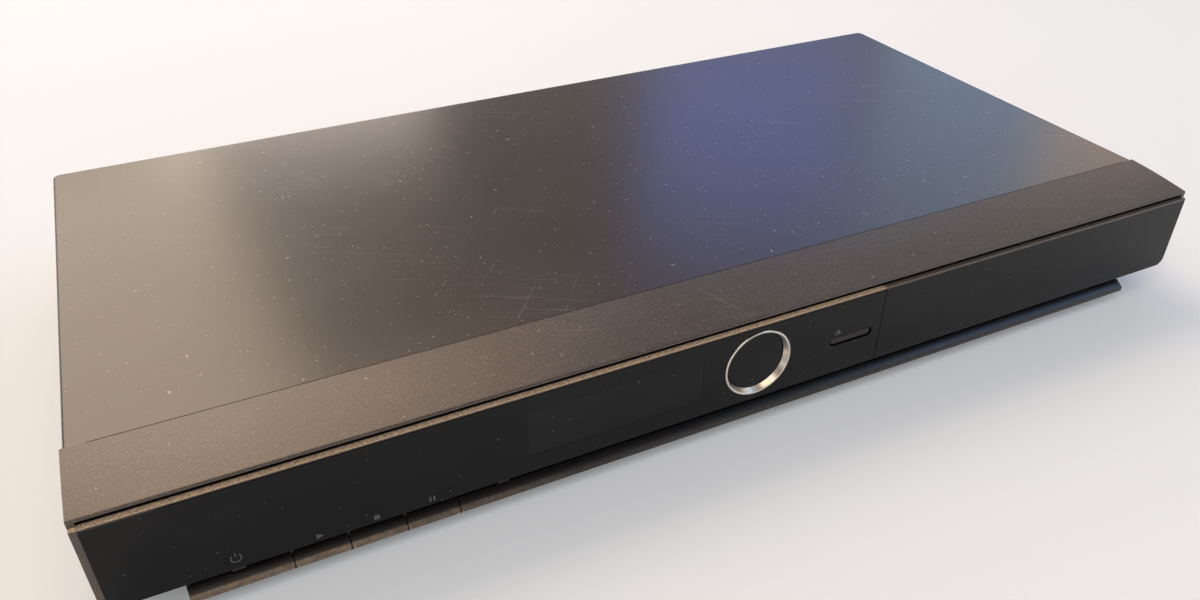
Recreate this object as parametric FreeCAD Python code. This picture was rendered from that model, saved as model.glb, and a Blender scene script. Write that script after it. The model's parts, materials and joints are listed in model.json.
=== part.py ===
import FreeCAD, Part
import math
import os

# A full-width blu-ray player with a disc tray at the right of its front.
# Millimetres. +X is to the right seen from the front, +Y runs from the front to the back, +Z is up.
# The origin is at the middle of the footprint, on the surface that the feet stand on.

V = FreeCAD.Vector

# Outer sizes
WIDTH = 430.0
BODY_DEPTH = 218.0
FOOT_HEIGHT = 4.8
CHIN_HEIGHT = 8.2
FASCIA_HEIGHT = 32.5
SLOT_HEIGHT = 1.8
NOSE_THICK = 0.6
STRIP_DROP = 3.1
RING_PROUD = 0.6
JACK_REACH = 8.0

# Sheet metal and the moulding's walls
SHEET = 0.8
WALL = 2.2
COVER_INSET = 0.6
COVER_BEND = 1.1
COVER_CORNER = 3.0
SEAM_GAP = 0.3
SEAM_END = 7.0
FIT_GAP = 0.2
MOVE_GAP = 0.4

# Front bezel
STRIP_DEPTH = 28.6
CROWN_RISE = 0.3
NOSE_SETBACK = 1.0
SLOT_DEPTH = 4.4
FRAME_BAR = 0.8
FRAME_SIDE = 2.0
FASCIA_THICK = 2.2
FASCIA_CORNER = 3.5
CHIN_INSET = 21.7
CHIN_SETBACK = 4.3
CHIN_RUN = 10.0
CHIN_SLOPE = 5.0
TONGUE_REACH = 6.0
TONGUE_THICK = 1.2

# Lip of keys along the chin
LIP_DEPTH = 3.3
LIP_BACK_DROP = 4.0
LIP_SLOPE_DROP = 2.0
POWER_KEY_W = 30.7
PLAY_KEY_W = 17.4
STOP_KEY_W = 18.0
PAUSE_KEY_W = 17.6
KEY_GAP = 0.35
KEY_TRAVEL = 0.6
TAB_W = 1.2
TAB_H = 0.5
STEM_W = 6.0
STEM_H = 2.0
POWER_STEM_SHIFT = 8.0
GUIDE_W = 4.0
GUIDE_H = 1.2
BOARD_SETBACK = 12.0
BOSS_RISE = 21.0
SWITCH_REACH = 4.3

# Disc door, display window, ring and eject key. Insets and spaces are counted to the left from the door.
DOOR_W = 158.5
WINDOW_W = 65.2
WINDOW_SPACE = 22.4
WINDOW_TOP_DROP = 7.6
WINDOW_H = 18.0
RING_INSET = 54.1
RING_DROP = 16.3
RING_R = 13.5
RING_RIM = 0.8
RING_DISC_R = 11.8
RING_DEPTH = 2.1
EJECT_INSET = 13.1
EJECT_DROP = 18.0
EJECT_W = 18.2
EJECT_H = 3.0

# Disc tray
DISC_R = 60.0
SMALL_DISC_R = 40.0
TRAY_W = 130.0
TRAY_RIM = 6.0
TRAY_PLATE = 2.2
RECESS_DEPTH = 2.2
SMALL_STEP = 0.6
TRAY_TRAVEL = 135.0
TRAY_TAIL = 25.0
LASER_SLOT_W = 36.0
TRAY_DROP = 11.8
LID_THICK = 3.6
LID_BAR = 0.7
MOUTH_SIDE = 1.2

# Loader
LOADER_W = 146.0
LOADER_D = 176.0
LOADER_WALL = 2.5
LOADER_STAND = 4.2
BRIDGE_DROP = 4.2
BRIDGE_THICK = 1.0
BRIDGE_WIDTH = 46.0
BRIDGE_SCREW_R = 0.9
CLAMPER_R = 16.5
CLAMPER_NECK_R = 11.0
CLAMPER_THICK = 5.3
DECK_THICK = 1.6
EAR_HALF = 6.0
EAR_THICK = 2.5
EAR_REACH = 11.0

# Gear train: a rack under the tray, a drive gear, a belt pulley and a motor pulley
DRIVE_SETBACK = 23.0
GEAR_MODULE = 1.0
RACK_SPARE_TEETH = 4
RACK_H = 4.3
RACK_BACK = 4.0
RACK_INSET = 17.1
RACK_FRONT = 10.4
DRIVE_PINION_TEETH = 18
DRIVE_WHEEL_TEETH = 24
PULLEY_PINION_TEETH = 12
GEAR_W = 3.0
BACKLASH = 0.24
BELT_PULLEY_R = 11.5
MOTOR_PULLEY_R = 3.0
MOTOR_SPACING = 45.0
MOTOR_R = 10.0
MOTOR_H = 9.0
MOTOR_SHAFT_R = 1.0
BELT_SIZE = 1.2
BELT_FLANGE = 1.0
SHAFT_R = 1.5
RUN_GAP = 0.06

# Traverse: the tilting sub-chassis with the spindle and the laser sled
LIFT_DEG = 5.0
CAM_SETBACK = 47.0
PIVOT_SPAN = 78.0
TRAVERSE_DROP = 2.5
PIVOT_DROP = 4.5
TRAVERSE_W = 73.0
TRAVERSE_PLATE = 1.2
TRAVERSE_SKIRT = 5.5
PIVOT_R = 2.0
SEAT_LIFT = 1.4
TABLE_R = 13.5
HUB_R = 7.4
SPINDLE_MOTOR_R = 12.0
SPINDLE_MOTOR_H = 5.5
ROD_R = 1.5
ROD_SPACING = 56.0
ROD_DROP = 1.4
CLIP_HALF = 3.5
SCREW_INSET = 7.5
SCREW_R = 1.5
SLED_MOTOR_R = 4.0
SLED_MOTOR_L = 12.0
SLED_TRAVEL = 33.0
DATA_START = 24.5
SLED_L = 20.0
SLED_UNDER = 4.5
SLED_OVER = 3.4
SLED_ARM_END = 9.0
CAM_PIN_R = 1.5
CAM_PLATE = 2.0
CAM_TRAVEL = 25.0
CAM_SLOT_PLAY = 0.55

# Boards and what stands on them
BOARD = 1.6
BOARD_STAND = 5.0
BOARD_GAP = 1.0
BOARD_HOLE_INSET = 5.0
POWER_INSET = 6.0
POWER_BOARD_D = 146.0
MAIN_BOARD_W = 126.0
MAIN_BOARD_D = 138.0
CHIP_SIZE = 30.0
CHIP_H = 2.4
SINK_SIZE = 40.0
SINK_BASE = 2.5
FIN_H = 10.5
FIN_THICK = 2.0
FIN_COUNT = 9
CORE_W = 30.0
CORE_D = 10.0
CORE_H = 23.0
WINDING_W = 18.0
WINDING_D = 26.0
CAPACITOR_R = 9.0
CAPACITOR_H = 27.0
DISPLAY_W = 58.0
DISPLAY_H = 14.0
RIBBON_W = 20.0
RIBBON_THICK = 0.3

# Back panel, fan, feet and screws
FAN_SIZE = 40.0
FAN_DEPTH = 10.0
FAN_BLADES = 7
FAN_RIM = 1.4
FAN_HUB_R = 8.0
FAN_SPACE = 2.0
POWER_SPACE = 6.9
SOCKET_PITCH = 20.0
BARREL_R = 4.15
BARREL_PITCH = 14.0
BARREL_RISE = 8.0
COVER_LIP = 11.0
VENT_PITCH = 7.0
VENT_W = 2.8
VENT_L = 28.0
FOOT_R = 11.0
FOOT_INSET_X = 30.0
FOOT_INSET_Y = 28.0
SCREW_HEAD_R = 2.9
SCREW_HEAD_H = 1.7
SCREW_SHANK_R = 1.4
COVER_HEAD_H = 0.6
CORNER_SCREW_INSET = 22.0
COVER_SCREW_DROP = 6.0

# Levels worked out from the sizes above
UNDER = FOOT_HEIGHT
FLOOR = UNDER + SHEET
FASCIA_BOTTOM = UNDER + CHIN_HEIGHT
FASCIA_TOP = FASCIA_BOTTOM + FASCIA_HEIGHT
NOSE_Z = FASCIA_TOP + SLOT_HEIGHT + NOSE_THICK
TOP = NOSE_Z + STRIP_DROP
CEILING = TOP - SHEET

# Planes from the front to the back
OVERALL_DEPTH = RING_PROUD + BODY_DEPTH + JACK_REACH
FACE = -OVERALL_DEPTH / 2 + RING_PROUD
BACK = FACE + BODY_DEPTH
COVER_FRONT = FACE + STRIP_DEPTH + SEAM_GAP
PANEL_Y = BACK - SHEET - FIT_GAP
PANEL_IN = PANEL_Y - SHEET
HALF = WIDTH / 2
COVER_HALF = HALF - COVER_INSET
PAN_HALF = COVER_HALF - SHEET - FIT_GAP
CHIN_HALF = HALF - CHIN_INSET
SEAM_X = HALF - DOOR_W
RING_X = SEAM_X - RING_INSET
EJECT_X = SEAM_X - EJECT_INSET
WINDOW_RIGHT = RING_X - WINDOW_SPACE
WINDOW_LEFT = WINDOW_RIGHT - WINDOW_W


def block(x0, x1, y0, y1, z0, z1):
    """A box between two corners."""
    return Part.makeBox(x1 - x0, y1 - y0, z1 - z0, V(x0, y0, z0))


def rod_z(x, y, r, z0, z1):
    return Part.makeCylinder(r, z1 - z0, V(x, y, z0), V(0, 0, 1))


def rod_y(x, z, r, y0, y1):
    return Part.makeCylinder(r, y1 - y0, V(x, y0, z), V(0, 1, 0))


def rod_x(y, z, r, x0, x1):
    return Part.makeCylinder(r, x1 - x0, V(x0, y, z), V(1, 0, 0))


def to_space(plane, a, b, level):
    """A point of a flat outline, put in the plane named by its two axes."""
    if plane == "xy":
        return V(a, b, level)
    if plane == "xz":
        return V(a, level, b)
    return V(level, a, b)


def outline(plane, level, steps):
    """A closed wire. A step is a point, or (middle, end) for an arc from the last point."""
    start = to_space(plane, steps[0][0], steps[0][1], level)
    here = start
    edges = []
    for step in steps[1:]:
        if isinstance(step[0], tuple):
            middle = to_space(plane, step[0][0], step[0][1], level)
            end = to_space(plane, step[1][0], step[1][1], level)
            edges.append(Part.Arc(here, middle, end).toShape())
        else:
            end = to_space(plane, step[0], step[1], level)
            edges.append(Part.LineSegment(here, end).toShape())
        here = end
    if here.distanceToPoint(start) > 1e-6:
        edges.append(Part.LineSegment(here, start).toShape())
    return Part.Wire(edges)


def prism(plane, steps, low, high):
    """An outline in a plane, pushed from one level to another along the third axis."""
    depth = high - low
    push = {"xy": V(0, 0, depth), "xz": V(0, depth, 0), "yz": V(depth, 0, 0)}[plane]
    return Part.Face(outline(plane, low, steps)).extrude(push)


def spin(plane, steps, centre, axis):
    """An outline in a plane through the axis, turned a full turn about it."""
    level = {"xy": centre.z, "xz": centre.y, "yz": centre.x}[plane]
    return Part.Face(outline(plane, level, steps)).revolve(centre, axis, 360)


def pill_y(x, z, width, height, y0, y1):
    """A slot with round ends that lies along X, pushed along Y."""
    r = height / 2
    a = width / 2 - r
    steps = [(x - a, z - r), (x + a, z - r), ((x + a + r, z), (x + a, z + r)), (x - a, z + r),
             ((x - a - r, z), (x - a, z - r))]
    return prism("xz", steps, y0, y1)


def round_plate(x0, x1, y0, y1, z0, z1, r):
    """A flat plate whose four corners are round seen from above."""
    plate = block(x0, x1, y0, y1, z0, z1)
    return plate.makeFillet(r, upright_edges(plate, V(0, 0, 1)))


def upright_edges(shape, along):
    """The straight edges of a shape that run along one direction."""
    found = []
    for edge in shape.Edges:
        if len(edge.Vertexes) < 2:
            continue
        run = edge.Vertexes[1].Point.sub(edge.Vertexes[0].Point)
        if run.Length > 1e-6 and abs(abs(run.dot(along)) / run.Length - 1) < 1e-6:
            found.append(edge)
    return found


def join(shapes):
    whole = shapes[0]
    if len(shapes) > 1:
        whole = whole.fuse(shapes[1:])
    return whole.removeSplitter()


def pan_screw(x, y, z, way, length, head_r=SCREW_HEAD_R, shank_r=SCREW_SHANK_R, head_h=SCREW_HEAD_H):
    """A pan-head screw. The point given is under its head, and way points into the thread."""
    at = V(x, y, z)
    back = V(way).multiply(-head_h)
    head = Part.makeCylinder(head_r, head_h, at.add(back), way)
    shank = Part.makeCylinder(shank_r, length, at, way)
    return head.fuse(shank).removeSplitter()


def gear(x, y, z0, z1, teeth, bore, phase_deg):
    """A spur gear with a vertical axis. Each flank follows the tooth's rolling curve in two steps."""
    pitch_r = GEAR_MODULE * teeth / 2
    tip_r = pitch_r + GEAR_MODULE * 0.9
    root_r = pitch_r - GEAR_MODULE * 1.2
    pressure = math.radians(20)
    base_r = pitch_r * math.cos(pressure)

    def half_angle(r):
        lean = math.tan(pressure) - pressure
        here = 0.0
        if r > base_r:
            roll = math.acos(base_r / r)
            here = math.tan(roll) - roll
        half_tooth = (math.pi * GEAR_MODULE / 2 - BACKLASH) / 2 / pitch_r
        return half_tooth + lean - here

    radii = [max(root_r, 0.1), max(base_r, root_r + 0.05), pitch_r, tip_r]
    steps = []
    for i in range(teeth):
        middle = math.radians(phase_deg) + 2 * math.pi * i / teeth
        rise = [(r, middle - half_angle(r)) for r in radii]
        fall = [(r, middle + half_angle(r)) for r in reversed(radii)]
        steps += [(x + r * math.cos(a), y + r * math.sin(a)) for r, a in rise + fall]
    body = prism("xy", steps, z0, z1)
    return body.cut(rod_z(x, y, bore, z0 - 1, z1 + 1))


# Ring, keys and the fascia
WINDOW_TOP = FASCIA_TOP - WINDOW_TOP_DROP
WINDOW_BOTTOM = WINDOW_TOP - WINDOW_H
RING_Z = FASCIA_TOP - RING_DROP
EJECT_Z = FASCIA_TOP - EJECT_DROP
FASCIA_LEFT = -HALF + FRAME_SIDE
POCKET_BACK = FACE + FASCIA_THICK
FRONT_WALL_IN = POCKET_BACK + WALL
LID_BACK = FACE + LID_THICK
LID_WALL = LID_BACK + MOVE_GAP
LID_WALL_IN = LID_WALL + WALL
CHIN_WALL = FACE + CHIN_SETBACK
CHIN_WALL_IN = CHIN_WALL + WALL
LIP_BACK_Z = FASCIA_BOTTOM - LIP_BACK_DROP
LIP_FRONT_Z = LIP_BACK_Z - LIP_SLOPE_DROP
STEM_Z = UNDER + WALL - 0.2
SWITCH_Z = UNDER + WALL + 2.0
KEYS = [("power", POWER_KEY_W, POWER_STEM_SHIFT), ("play", PLAY_KEY_W, 0.0), ("stop", STOP_KEY_W, 0.0),
        ("pause", PAUSE_KEY_W, 0.0)]

# Tray and loader places
TRAY_X = (SEAM_X + HALF) / 2
TRAY_HALF = TRAY_W / 2
TRAY_TOP = CEILING - TRAY_DROP
RECESS_Z = TRAY_TOP - RECESS_DEPTH
TRAY_UNDER = RECESS_Z - TRAY_PLATE
RACK_Z = TRAY_UNDER - RACK_H
RECESS_R = DISC_R + 0.8
SPINDLE_Y = LID_BACK + TRAY_RIM + RECESS_R
TRAY_BACK = SPINDLE_Y + RECESS_R + TRAY_RIM
TAIL_BACK = TRAY_BACK + TRAY_TAIL
LOADER_LEFT = TRAY_X - LOADER_W / 2
LOADER_RIGHT = TRAY_X + LOADER_W / 2
LOADER_FRONT = LID_WALL_IN + 1.0
LOADER_BACK = LOADER_FRONT + LOADER_D
LOADER_BOTTOM = FLOOR + LOADER_STAND
BRIDGE_TOP = CEILING - BRIDGE_DROP
BRIDGE_Z = BRIDGE_TOP - BRIDGE_THICK
CLAMPER_TOP = BRIDGE_TOP + MOVE_GAP
CLAMPER_LOW = BRIDGE_Z - MOVE_GAP - CLAMPER_THICK
MOUTH_TOP = TRAY_TOP + 1.5
MOUTH_LOW = RACK_Z - 0.6

# Gear train places: the rack's pitch line runs along Y at RACK_X
RACK_X = TRAY_X - TRAY_HALF + RACK_INSET
DRIVE_PITCH_R = GEAR_MODULE * DRIVE_PINION_TEETH / 2
DRIVE_X = RACK_X - DRIVE_PITCH_R
DRIVE_Y = FACE + DRIVE_SETBACK
PULLEY_X = DRIVE_X + GEAR_MODULE * (DRIVE_WHEEL_TEETH + PULLEY_PINION_TEETH) / 2
MOTOR_X = PULLEY_X + MOTOR_SPACING
PINION_TOP = TRAY_UNDER - MOVE_GAP
WHEEL_TOP = RACK_Z - 1.2
WHEEL_Z = WHEEL_TOP - GEAR_W
BELT_TOP = WHEEL_Z - 0.6
BELT_Z = BELT_TOP - GEAR_W
DECK_TOP = BELT_Z - 0.8
RACK_START = LID_BACK + RACK_FRONT
RACK_TEETH = math.ceil(TRAY_TRAVEL / (math.pi * GEAR_MODULE)) + RACK_SPARE_TEETH

# Traverse places
SEAT_Z = RECESS_Z + SEAT_LIFT
TRAVERSE_TOP = TRAY_UNDER - TRAVERSE_DROP
PIVOT_Z = TRAVERSE_TOP - PIVOT_DROP
PIVOT_Y = SPINDLE_Y + PIVOT_SPAN
CAM_Y = FACE + CAM_SETBACK
TRAVERSE_FRONT = CAM_Y + CAM_PLATE / 2 + 4.0
TRAVERSE_BACK = PIVOT_Y + 5.0
CAM_DROP = (PIVOT_Y - CAM_Y) * math.sin(math.radians(LIFT_DEG))
CAM_PIN_X = TRAY_X + 6.0
CROSSBAR_TOP = LOADER_BOTTOM + 3.0
ROD_Z = TRAVERSE_TOP - TRAVERSE_PLATE - ROD_R - ROD_DROP
SCREW_X = TRAY_X + ROD_SPACING / 2 - SCREW_INSET
SLED_FRONT = SPINDLE_Y + DATA_START - SLED_L / 2
SLED_TOP = ROD_Z + SLED_OVER
SLED_MOTOR_FRONT = SLED_FRONT + SLED_ARM_END + SLED_TRAVEL + 1.5

# Board places. The main board stands beside the loader, then the fan, and the power board takes the rest.
BOARD_Z = FLOOR + BOARD_STAND
BOARD_TOP = BOARD_Z + BOARD
BOARD_BACK = PANEL_IN - BOARD_GAP
SWITCH_Y = FACE + BOARD_SETBACK
SWITCH_TIP = SWITCH_Y - SWITCH_REACH
STEM_END = SWITCH_TIP - KEY_TRAVEL - 0.2
BOSS_Z = BOARD_TOP + BOSS_RISE
BOARD_LEFT = LOADER_LEFT - EAR_REACH - MOVE_GAP - 1.35 - MAIN_BOARD_W
FAN_X = BOARD_LEFT - FAN_SPACE - FAN_SIZE / 2
FAN_Z = FLOOR + 1.0 + FAN_SIZE / 2
POWER_LEFT = -PAN_HALF + POWER_INSET
POWER_BOARD_W = FAN_X - FAN_SIZE / 2 - POWER_SPACE - POWER_LEFT
POWER_FRONT = BOARD_BACK - POWER_BOARD_D
CHIP_X = BOARD_LEFT + MAIN_BOARD_W * 0.41
CHIP_Y = BOARD_BACK - MAIN_BOARD_D * 0.56

# Sockets in the back panel, from the left as seen from the front
PORT_GAP = 0.3
INLET_X = POWER_LEFT + POWER_BOARD_W * 0.42
HDMI_X = BOARD_LEFT + 14.0
NETWORK_X = HDMI_X + SOCKET_PITCH
USB_X = NETWORK_X + SOCKET_PITCH
OPTICAL_X = USB_X + SOCKET_PITCH - 4.0
AV_X = OPTICAL_X + 32.0


def make_front_bezel():
    """The front moulding: strip, nose, slot, frame, chin and the walls behind them."""
    strip_back = FACE + STRIP_DEPTH
    nose = FACE + NOSE_SETBACK
    edge_z = NOSE_Z + 0.35
    middle = ((strip_back + nose) / 2, (TOP + edge_z) / 2 + CROWN_RISE)
    crown = [(strip_back, TOP), (middle, (nose + 0.5, edge_z)), ((nose + 0.12, NOSE_Z + 0.1), (nose, NOSE_Z - 0.3))]
    chin_end = [(FACE, FASCIA_BOTTOM), (FACE + CHIN_RUN, FASCIA_BOTTOM),
                (FACE + CHIN_RUN + CHIN_SLOPE, UNDER), (strip_back, UNDER)]
    body = prism("yz", crown + [(nose, FASCIA_TOP), (FACE, FASCIA_TOP)] + chin_end, -HALF, HALF)
    chin = block(-CHIN_HALF, CHIN_HALF, CHIN_WALL, FACE + CHIN_RUN + CHIN_SLOPE + 1, UNDER, FASCIA_BOTTOM + 1)
    body = join([body, chin])

    shelf = FACE + SLOT_DEPTH + WALL
    roof = [(strip_back + 1, TOP - WALL), (shelf, TOP - STRIP_DROP - WALL + 0.3)]

    def hollow(wall_in, x0, x1):
        step_z = FASCIA_TOP - WALL
        steps = roof + [(shelf, step_z), (wall_in, step_z), (wall_in, FASCIA_BOTTOM + WALL),
                        (CHIN_WALL_IN, FASCIA_BOTTOM + WALL), (CHIN_WALL_IN, UNDER + WALL),
                        (strip_back + 1, UNDER + WALL)]
        return prism("yz", steps, x0, x1)

    chin_in = CHIN_HALF - WALL
    left = hollow(FRONT_WALL_IN, -chin_in, SEAM_X - WALL / 3)
    right = hollow(LID_WALL_IN, SEAM_X + WALL / 3, chin_in)
    end_run = FACE + CHIN_RUN + WALL
    ends = roof + [(shelf, FASCIA_BOTTOM + WALL), (end_run, FASCIA_BOTTOM + WALL),
                   (end_run + CHIN_SLOPE, UNDER + WALL), (strip_back + 1, UNDER + WALL)]
    left_end = prism("yz", ends, -HALF + WALL, -chin_in)
    right_end = prism("yz", ends, chin_in, HALF - WALL)
    body = body.cut([left, right, left_end, right_end])

    slot_z = FASCIA_TOP + SLOT_HEIGHT
    slot = block(FASCIA_LEFT, HALF + 1, FACE - 1, FACE + SLOT_DEPTH, FASCIA_TOP, slot_z)
    pocket = prism("xz", fascia_steps(FASCIA_LEFT, SEAM_X, FASCIA_BOTTOM - 0.01, FASCIA_TOP - FRAME_BAR,
                                      FASCIA_CORNER), FACE - 1, POCKET_BACK)
    corner = corner_cut(-HALF, FASCIA_BOTTOM, FASCIA_CORNER + FRAME_SIDE, -1, FACE - 1, FACE + CHIN_RUN)
    lid_pocket = block(SEAM_X, HALF + 1, FACE - 1, LID_WALL, FASCIA_BOTTOM - 1, FASCIA_TOP)
    mouth_half = TRAY_HALF + MOUTH_SIDE
    mouth = block(TRAY_X - mouth_half, TRAY_X + mouth_half, FACE, LID_WALL_IN + 1, MOUTH_LOW, MOUTH_TOP)
    window = block(WINDOW_LEFT + 1, WINDOW_RIGHT - 1, FACE, FRONT_WALL_IN + 1, WINDOW_BOTTOM + 1, WINDOW_TOP - 1)
    ring_hole = rod_y(RING_X, RING_Z, RING_R - 0.9, FACE, FRONT_WALL_IN + 1)
    eject_hole = pill_y(EJECT_X, EJECT_Z, EJECT_W + 1, EJECT_H + 1, FACE, FRONT_WALL_IN + 1)
    body = body.cut([slot, pocket, corner, lid_pocket, mouth, window, ring_hole, eject_hole])

    holes = []
    for middle in stem_places():
        half = STEM_W / 2 + MOVE_GAP
        holes.append(block(middle - half, middle + half, FACE, CHIN_WALL_IN + 1,
                           STEM_Z - MOVE_GAP, STEM_Z + STEM_H + MOVE_GAP))
    for x in guide_places():
        half = GUIDE_W / 2 + FIT_GAP
        holes.append(block(x - half, x + half, FACE, CHIN_WALL_IN + 1,
                           FASCIA_BOTTOM - GUIDE_H - FIT_GAP, FASCIA_BOTTOM))
    body = body.cut(holes)

    ribs = []
    for x in gap_places():
        ribs.append(block(x - TAB_W / 2, x + TAB_W / 2, FACE + 0.2, CHIN_WALL + 0.4, UNDER, UNDER + TAB_H))
    for x in gap_places()[:3]:
        ribs.append(block(x - 0.35, x + 0.35, CHIN_WALL - 1.6, CHIN_WALL + 0.4, LIP_BACK_Z + 0.3, LIP_BACK_Z + 1.6))
    for x in board_bosses():
        ribs.append(rod_y(x, BOSS_Z, 3.0, FRONT_WALL_IN - 0.2, SWITCH_Y).cut(
            rod_y(x, BOSS_Z, SCREW_SHANK_R, SWITCH_Y - 5, SWITCH_Y + 1)))
    stiff = [(FACE + 9, TOP - 3.4), (FACE + 26, TOP - 1.2), (FACE + 26, TOP - WALL - 1.6),
             (FACE + 9, TOP - WALL - 4.4)]
    for share in (-0.7, -0.28, 0.14, 0.56):
        x = share * HALF
        ribs.append(prism("yz", stiff, x - 0.6, x + 0.6))
    tongue_top = CEILING - 0.15
    reach = TONGUE_REACH + SEAM_GAP
    ribs.append(block(-COVER_HALF + 6, COVER_HALF - 6, strip_back - 3, strip_back + reach,
                      tongue_top - TONGUE_THICK, tongue_top))
    for side in (-1, 1):
        end = side * HALF
        for reach, low in ((SEAM_END, TOP - WALL), (WALL, UNDER)):
            a = side * (HALF - reach)
            ribs.append(block(min(a, end), max(a, end), strip_back - 0.1, COVER_FRONT, low, TOP))
    for x in hook_places():
        ribs.append(block(x - 5, x + 5, strip_back - 4, strip_back + 5, FLOOR + FIT_GAP, FLOOR + FIT_GAP + 1.4))
    return join([body] + ribs)


def key_spans():
    """The left and right end of each key in the lip, from the chin's left end."""
    x = -CHIN_HALF + KEY_GAP
    spans = []
    for name, width, shift in KEYS:
        spans.append((x, x + width - KEY_GAP))
        x += width
    return spans


def gap_places():
    """The middle of the gap at each key's right end. A tab of the bezel lies under each."""
    return [span[1] + KEY_GAP / 2 for span in key_spans()]


def clear_tabs(piece):
    """Cuts the room that the tabs need out of a piece of the lip."""
    half = TAB_W / 2 + MOVE_GAP
    return piece.cut([block(x - half, x + half, FACE - 1, CHIN_WALL + 1, UNDER - 1, UNDER + TAB_H + MOVE_GAP)
                      for x in gap_places()])


def stem_places():
    """The middle of each key's stem. The power key's is moved aside to clear its light guide."""
    return [(x0 + x1) / 2 + key[2] for key, (x0, x1) in zip(KEYS, key_spans())]


def guide_places():
    """The light guides: one over the power key, one under the window's left end."""
    power = key_spans()[0]
    return [(power[0] + power[1]) / 2, WINDOW_LEFT - 9.0]


def board_bosses():
    return [-CHIN_HALF + 9, WINDOW_LEFT - 22, SEAM_X - 28]


def hook_places():
    return [share * HALF for share in (-0.7, -0.23, 0.23, 0.7)]


def fascia_steps(x0, x1, z0, z1, r):
    """An upright plate whose lower left corner is round."""
    bend = r * (1 - math.sqrt(0.5))
    return [(x1, z0), (x1, z1), (x0, z1), (x0, z0 + r), ((x0 + bend, z0 + bend), (x0 + r, z0))]


def make_fascia_panel():
    x0 = FASCIA_LEFT + 0.05
    x1 = SEAM_X - 0.05
    z1 = FASCIA_TOP - FRAME_BAR - 0.05
    steps = fascia_steps(x0, x1, FASCIA_BOTTOM, z1, FASCIA_CORNER - 0.05)
    panel = prism("xz", steps, FACE, POCKET_BACK)
    edge = 0.4
    bevel = prism("yz", [(FACE - 1, z1 + 1), (FACE - 1, z1 - edge - 1), (FACE + edge + 1, z1 + 1)], x0 - 1, x1 + 1)
    window = block(WINDOW_LEFT, WINDOW_RIGHT, FACE - 1, POCKET_BACK + 1, WINDOW_BOTTOM, WINDOW_TOP)
    ring = rod_y(RING_X, RING_Z, RING_R - 0.9, FACE - 1, POCKET_BACK + 1)
    eject = pill_y(EJECT_X, EJECT_Z, EJECT_W + 2 * KEY_GAP, EJECT_H + 2 * KEY_GAP, FACE - 1, POCKET_BACK + 1)
    return panel.cut([bevel, window, ring, eject])


def make_display_window():
    gap = 0.05
    return block(WINDOW_LEFT + gap, WINDOW_RIGHT - gap, FACE + 0.05, POCKET_BACK,
                 WINDOW_BOTTOM + gap, WINDOW_TOP - gap)


def make_ring_bezel():
    """A silver ring: a thin round rim and a conical wall that runs in to the disc."""
    y = FACE - RING_PROUD
    inner = RING_R - RING_RIM
    steps = [(RING_X + RING_DISC_R, FACE + RING_DEPTH - RING_PROUD),
             (RING_X + inner, y + 0.25), ((RING_X + inner + RING_RIM / 2, y), (RING_X + RING_R, y + 0.25)),
             (RING_X + RING_R, FACE), (RING_X + RING_R - 1.0, FACE), (RING_X + RING_R - 1.0, FRONT_WALL_IN),
             (RING_X + RING_DISC_R, FRONT_WALL_IN)]
    return spin("xy", steps, V(RING_X, FACE, RING_Z), V(0, 1, 0))


def make_ring_disc():
    y = FACE + RING_DEPTH - RING_PROUD
    r = RING_DISC_R - 0.05
    steps = [(RING_X, y - 0.3), ((RING_X + r * 0.5, y - 0.2), (RING_X + r - 0.3, y)), (RING_X + r, y + 0.3),
             (RING_X + r, FRONT_WALL_IN), (RING_X, FRONT_WALL_IN)]
    return spin("xy", steps, V(RING_X, FACE, RING_Z), V(0, 1, 0))


def make_ring_light_guide():
    """A clear cup between the ring's disc and the lamp on the front board."""
    outer = RING_DISC_R - 1.0
    steps = [(RING_X + outer - 1.5, FRONT_WALL_IN), (RING_X + outer, FRONT_WALL_IN), (RING_X + outer, SWITCH_Y - 2),
             (RING_X + 3.0, SWITCH_Y), (RING_X, SWITCH_Y), (RING_X, SWITCH_Y - 2), (RING_X + 2.0, SWITCH_Y - 2),
             (RING_X + outer - 1.5, SWITCH_Y - 4)]
    return spin("xy", steps, V(RING_X, FACE, RING_Z), V(0, 1, 0))


def make_eject_key():
    face = pill_y(EJECT_X, EJECT_Z, EJECT_W, EJECT_H, FACE + 0.5, FRONT_WALL_IN - 0.5)
    front = [edge for edge in face.Edges if abs(edge.CenterOfMass.y - (FACE + 0.5)) < 1e-6]
    face = face.makeChamfer(0.35, front)
    stem = rod_y(EJECT_X, EJECT_Z, 1.6, FRONT_WALL_IN - 1, STEM_END)
    return join([face, stem])


def lip_steps():
    """The lip's side view: a sloping top, a rounded edge and an upright front."""
    return [(FACE + LIP_DEPTH, LIP_BACK_Z), (FACE + 0.45, LIP_FRONT_Z + 0.25),
            ((FACE + 0.12, LIP_FRONT_Z), (FACE, LIP_FRONT_Z - 0.45)), (FACE, UNDER + 0.3),
            (FACE + 0.3, UNDER), (FACE + LIP_DEPTH, UNDER)]


def make_key(x0, x1, middle):
    """One key of the lip with the stem that reaches its switch."""
    lip = clear_tabs(prism("yz", lip_steps(), x0, x1))
    half = STEM_W / 2
    stem = block(middle - half, middle + half, FACE + LIP_DEPTH - 0.5, STEM_END, STEM_Z, STEM_Z + STEM_H)
    return join([lip, stem])


def make_lower_trim():
    x0 = key_spans()[-1][1] + KEY_GAP
    lip = prism("yz", lip_steps(), x0, CHIN_HALF)
    back = block(x0, CHIN_HALF, FACE + LIP_DEPTH - 0.5, CHIN_WALL, UNDER, LIP_BACK_Z)
    return clear_tabs(join([lip, back]))


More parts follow.
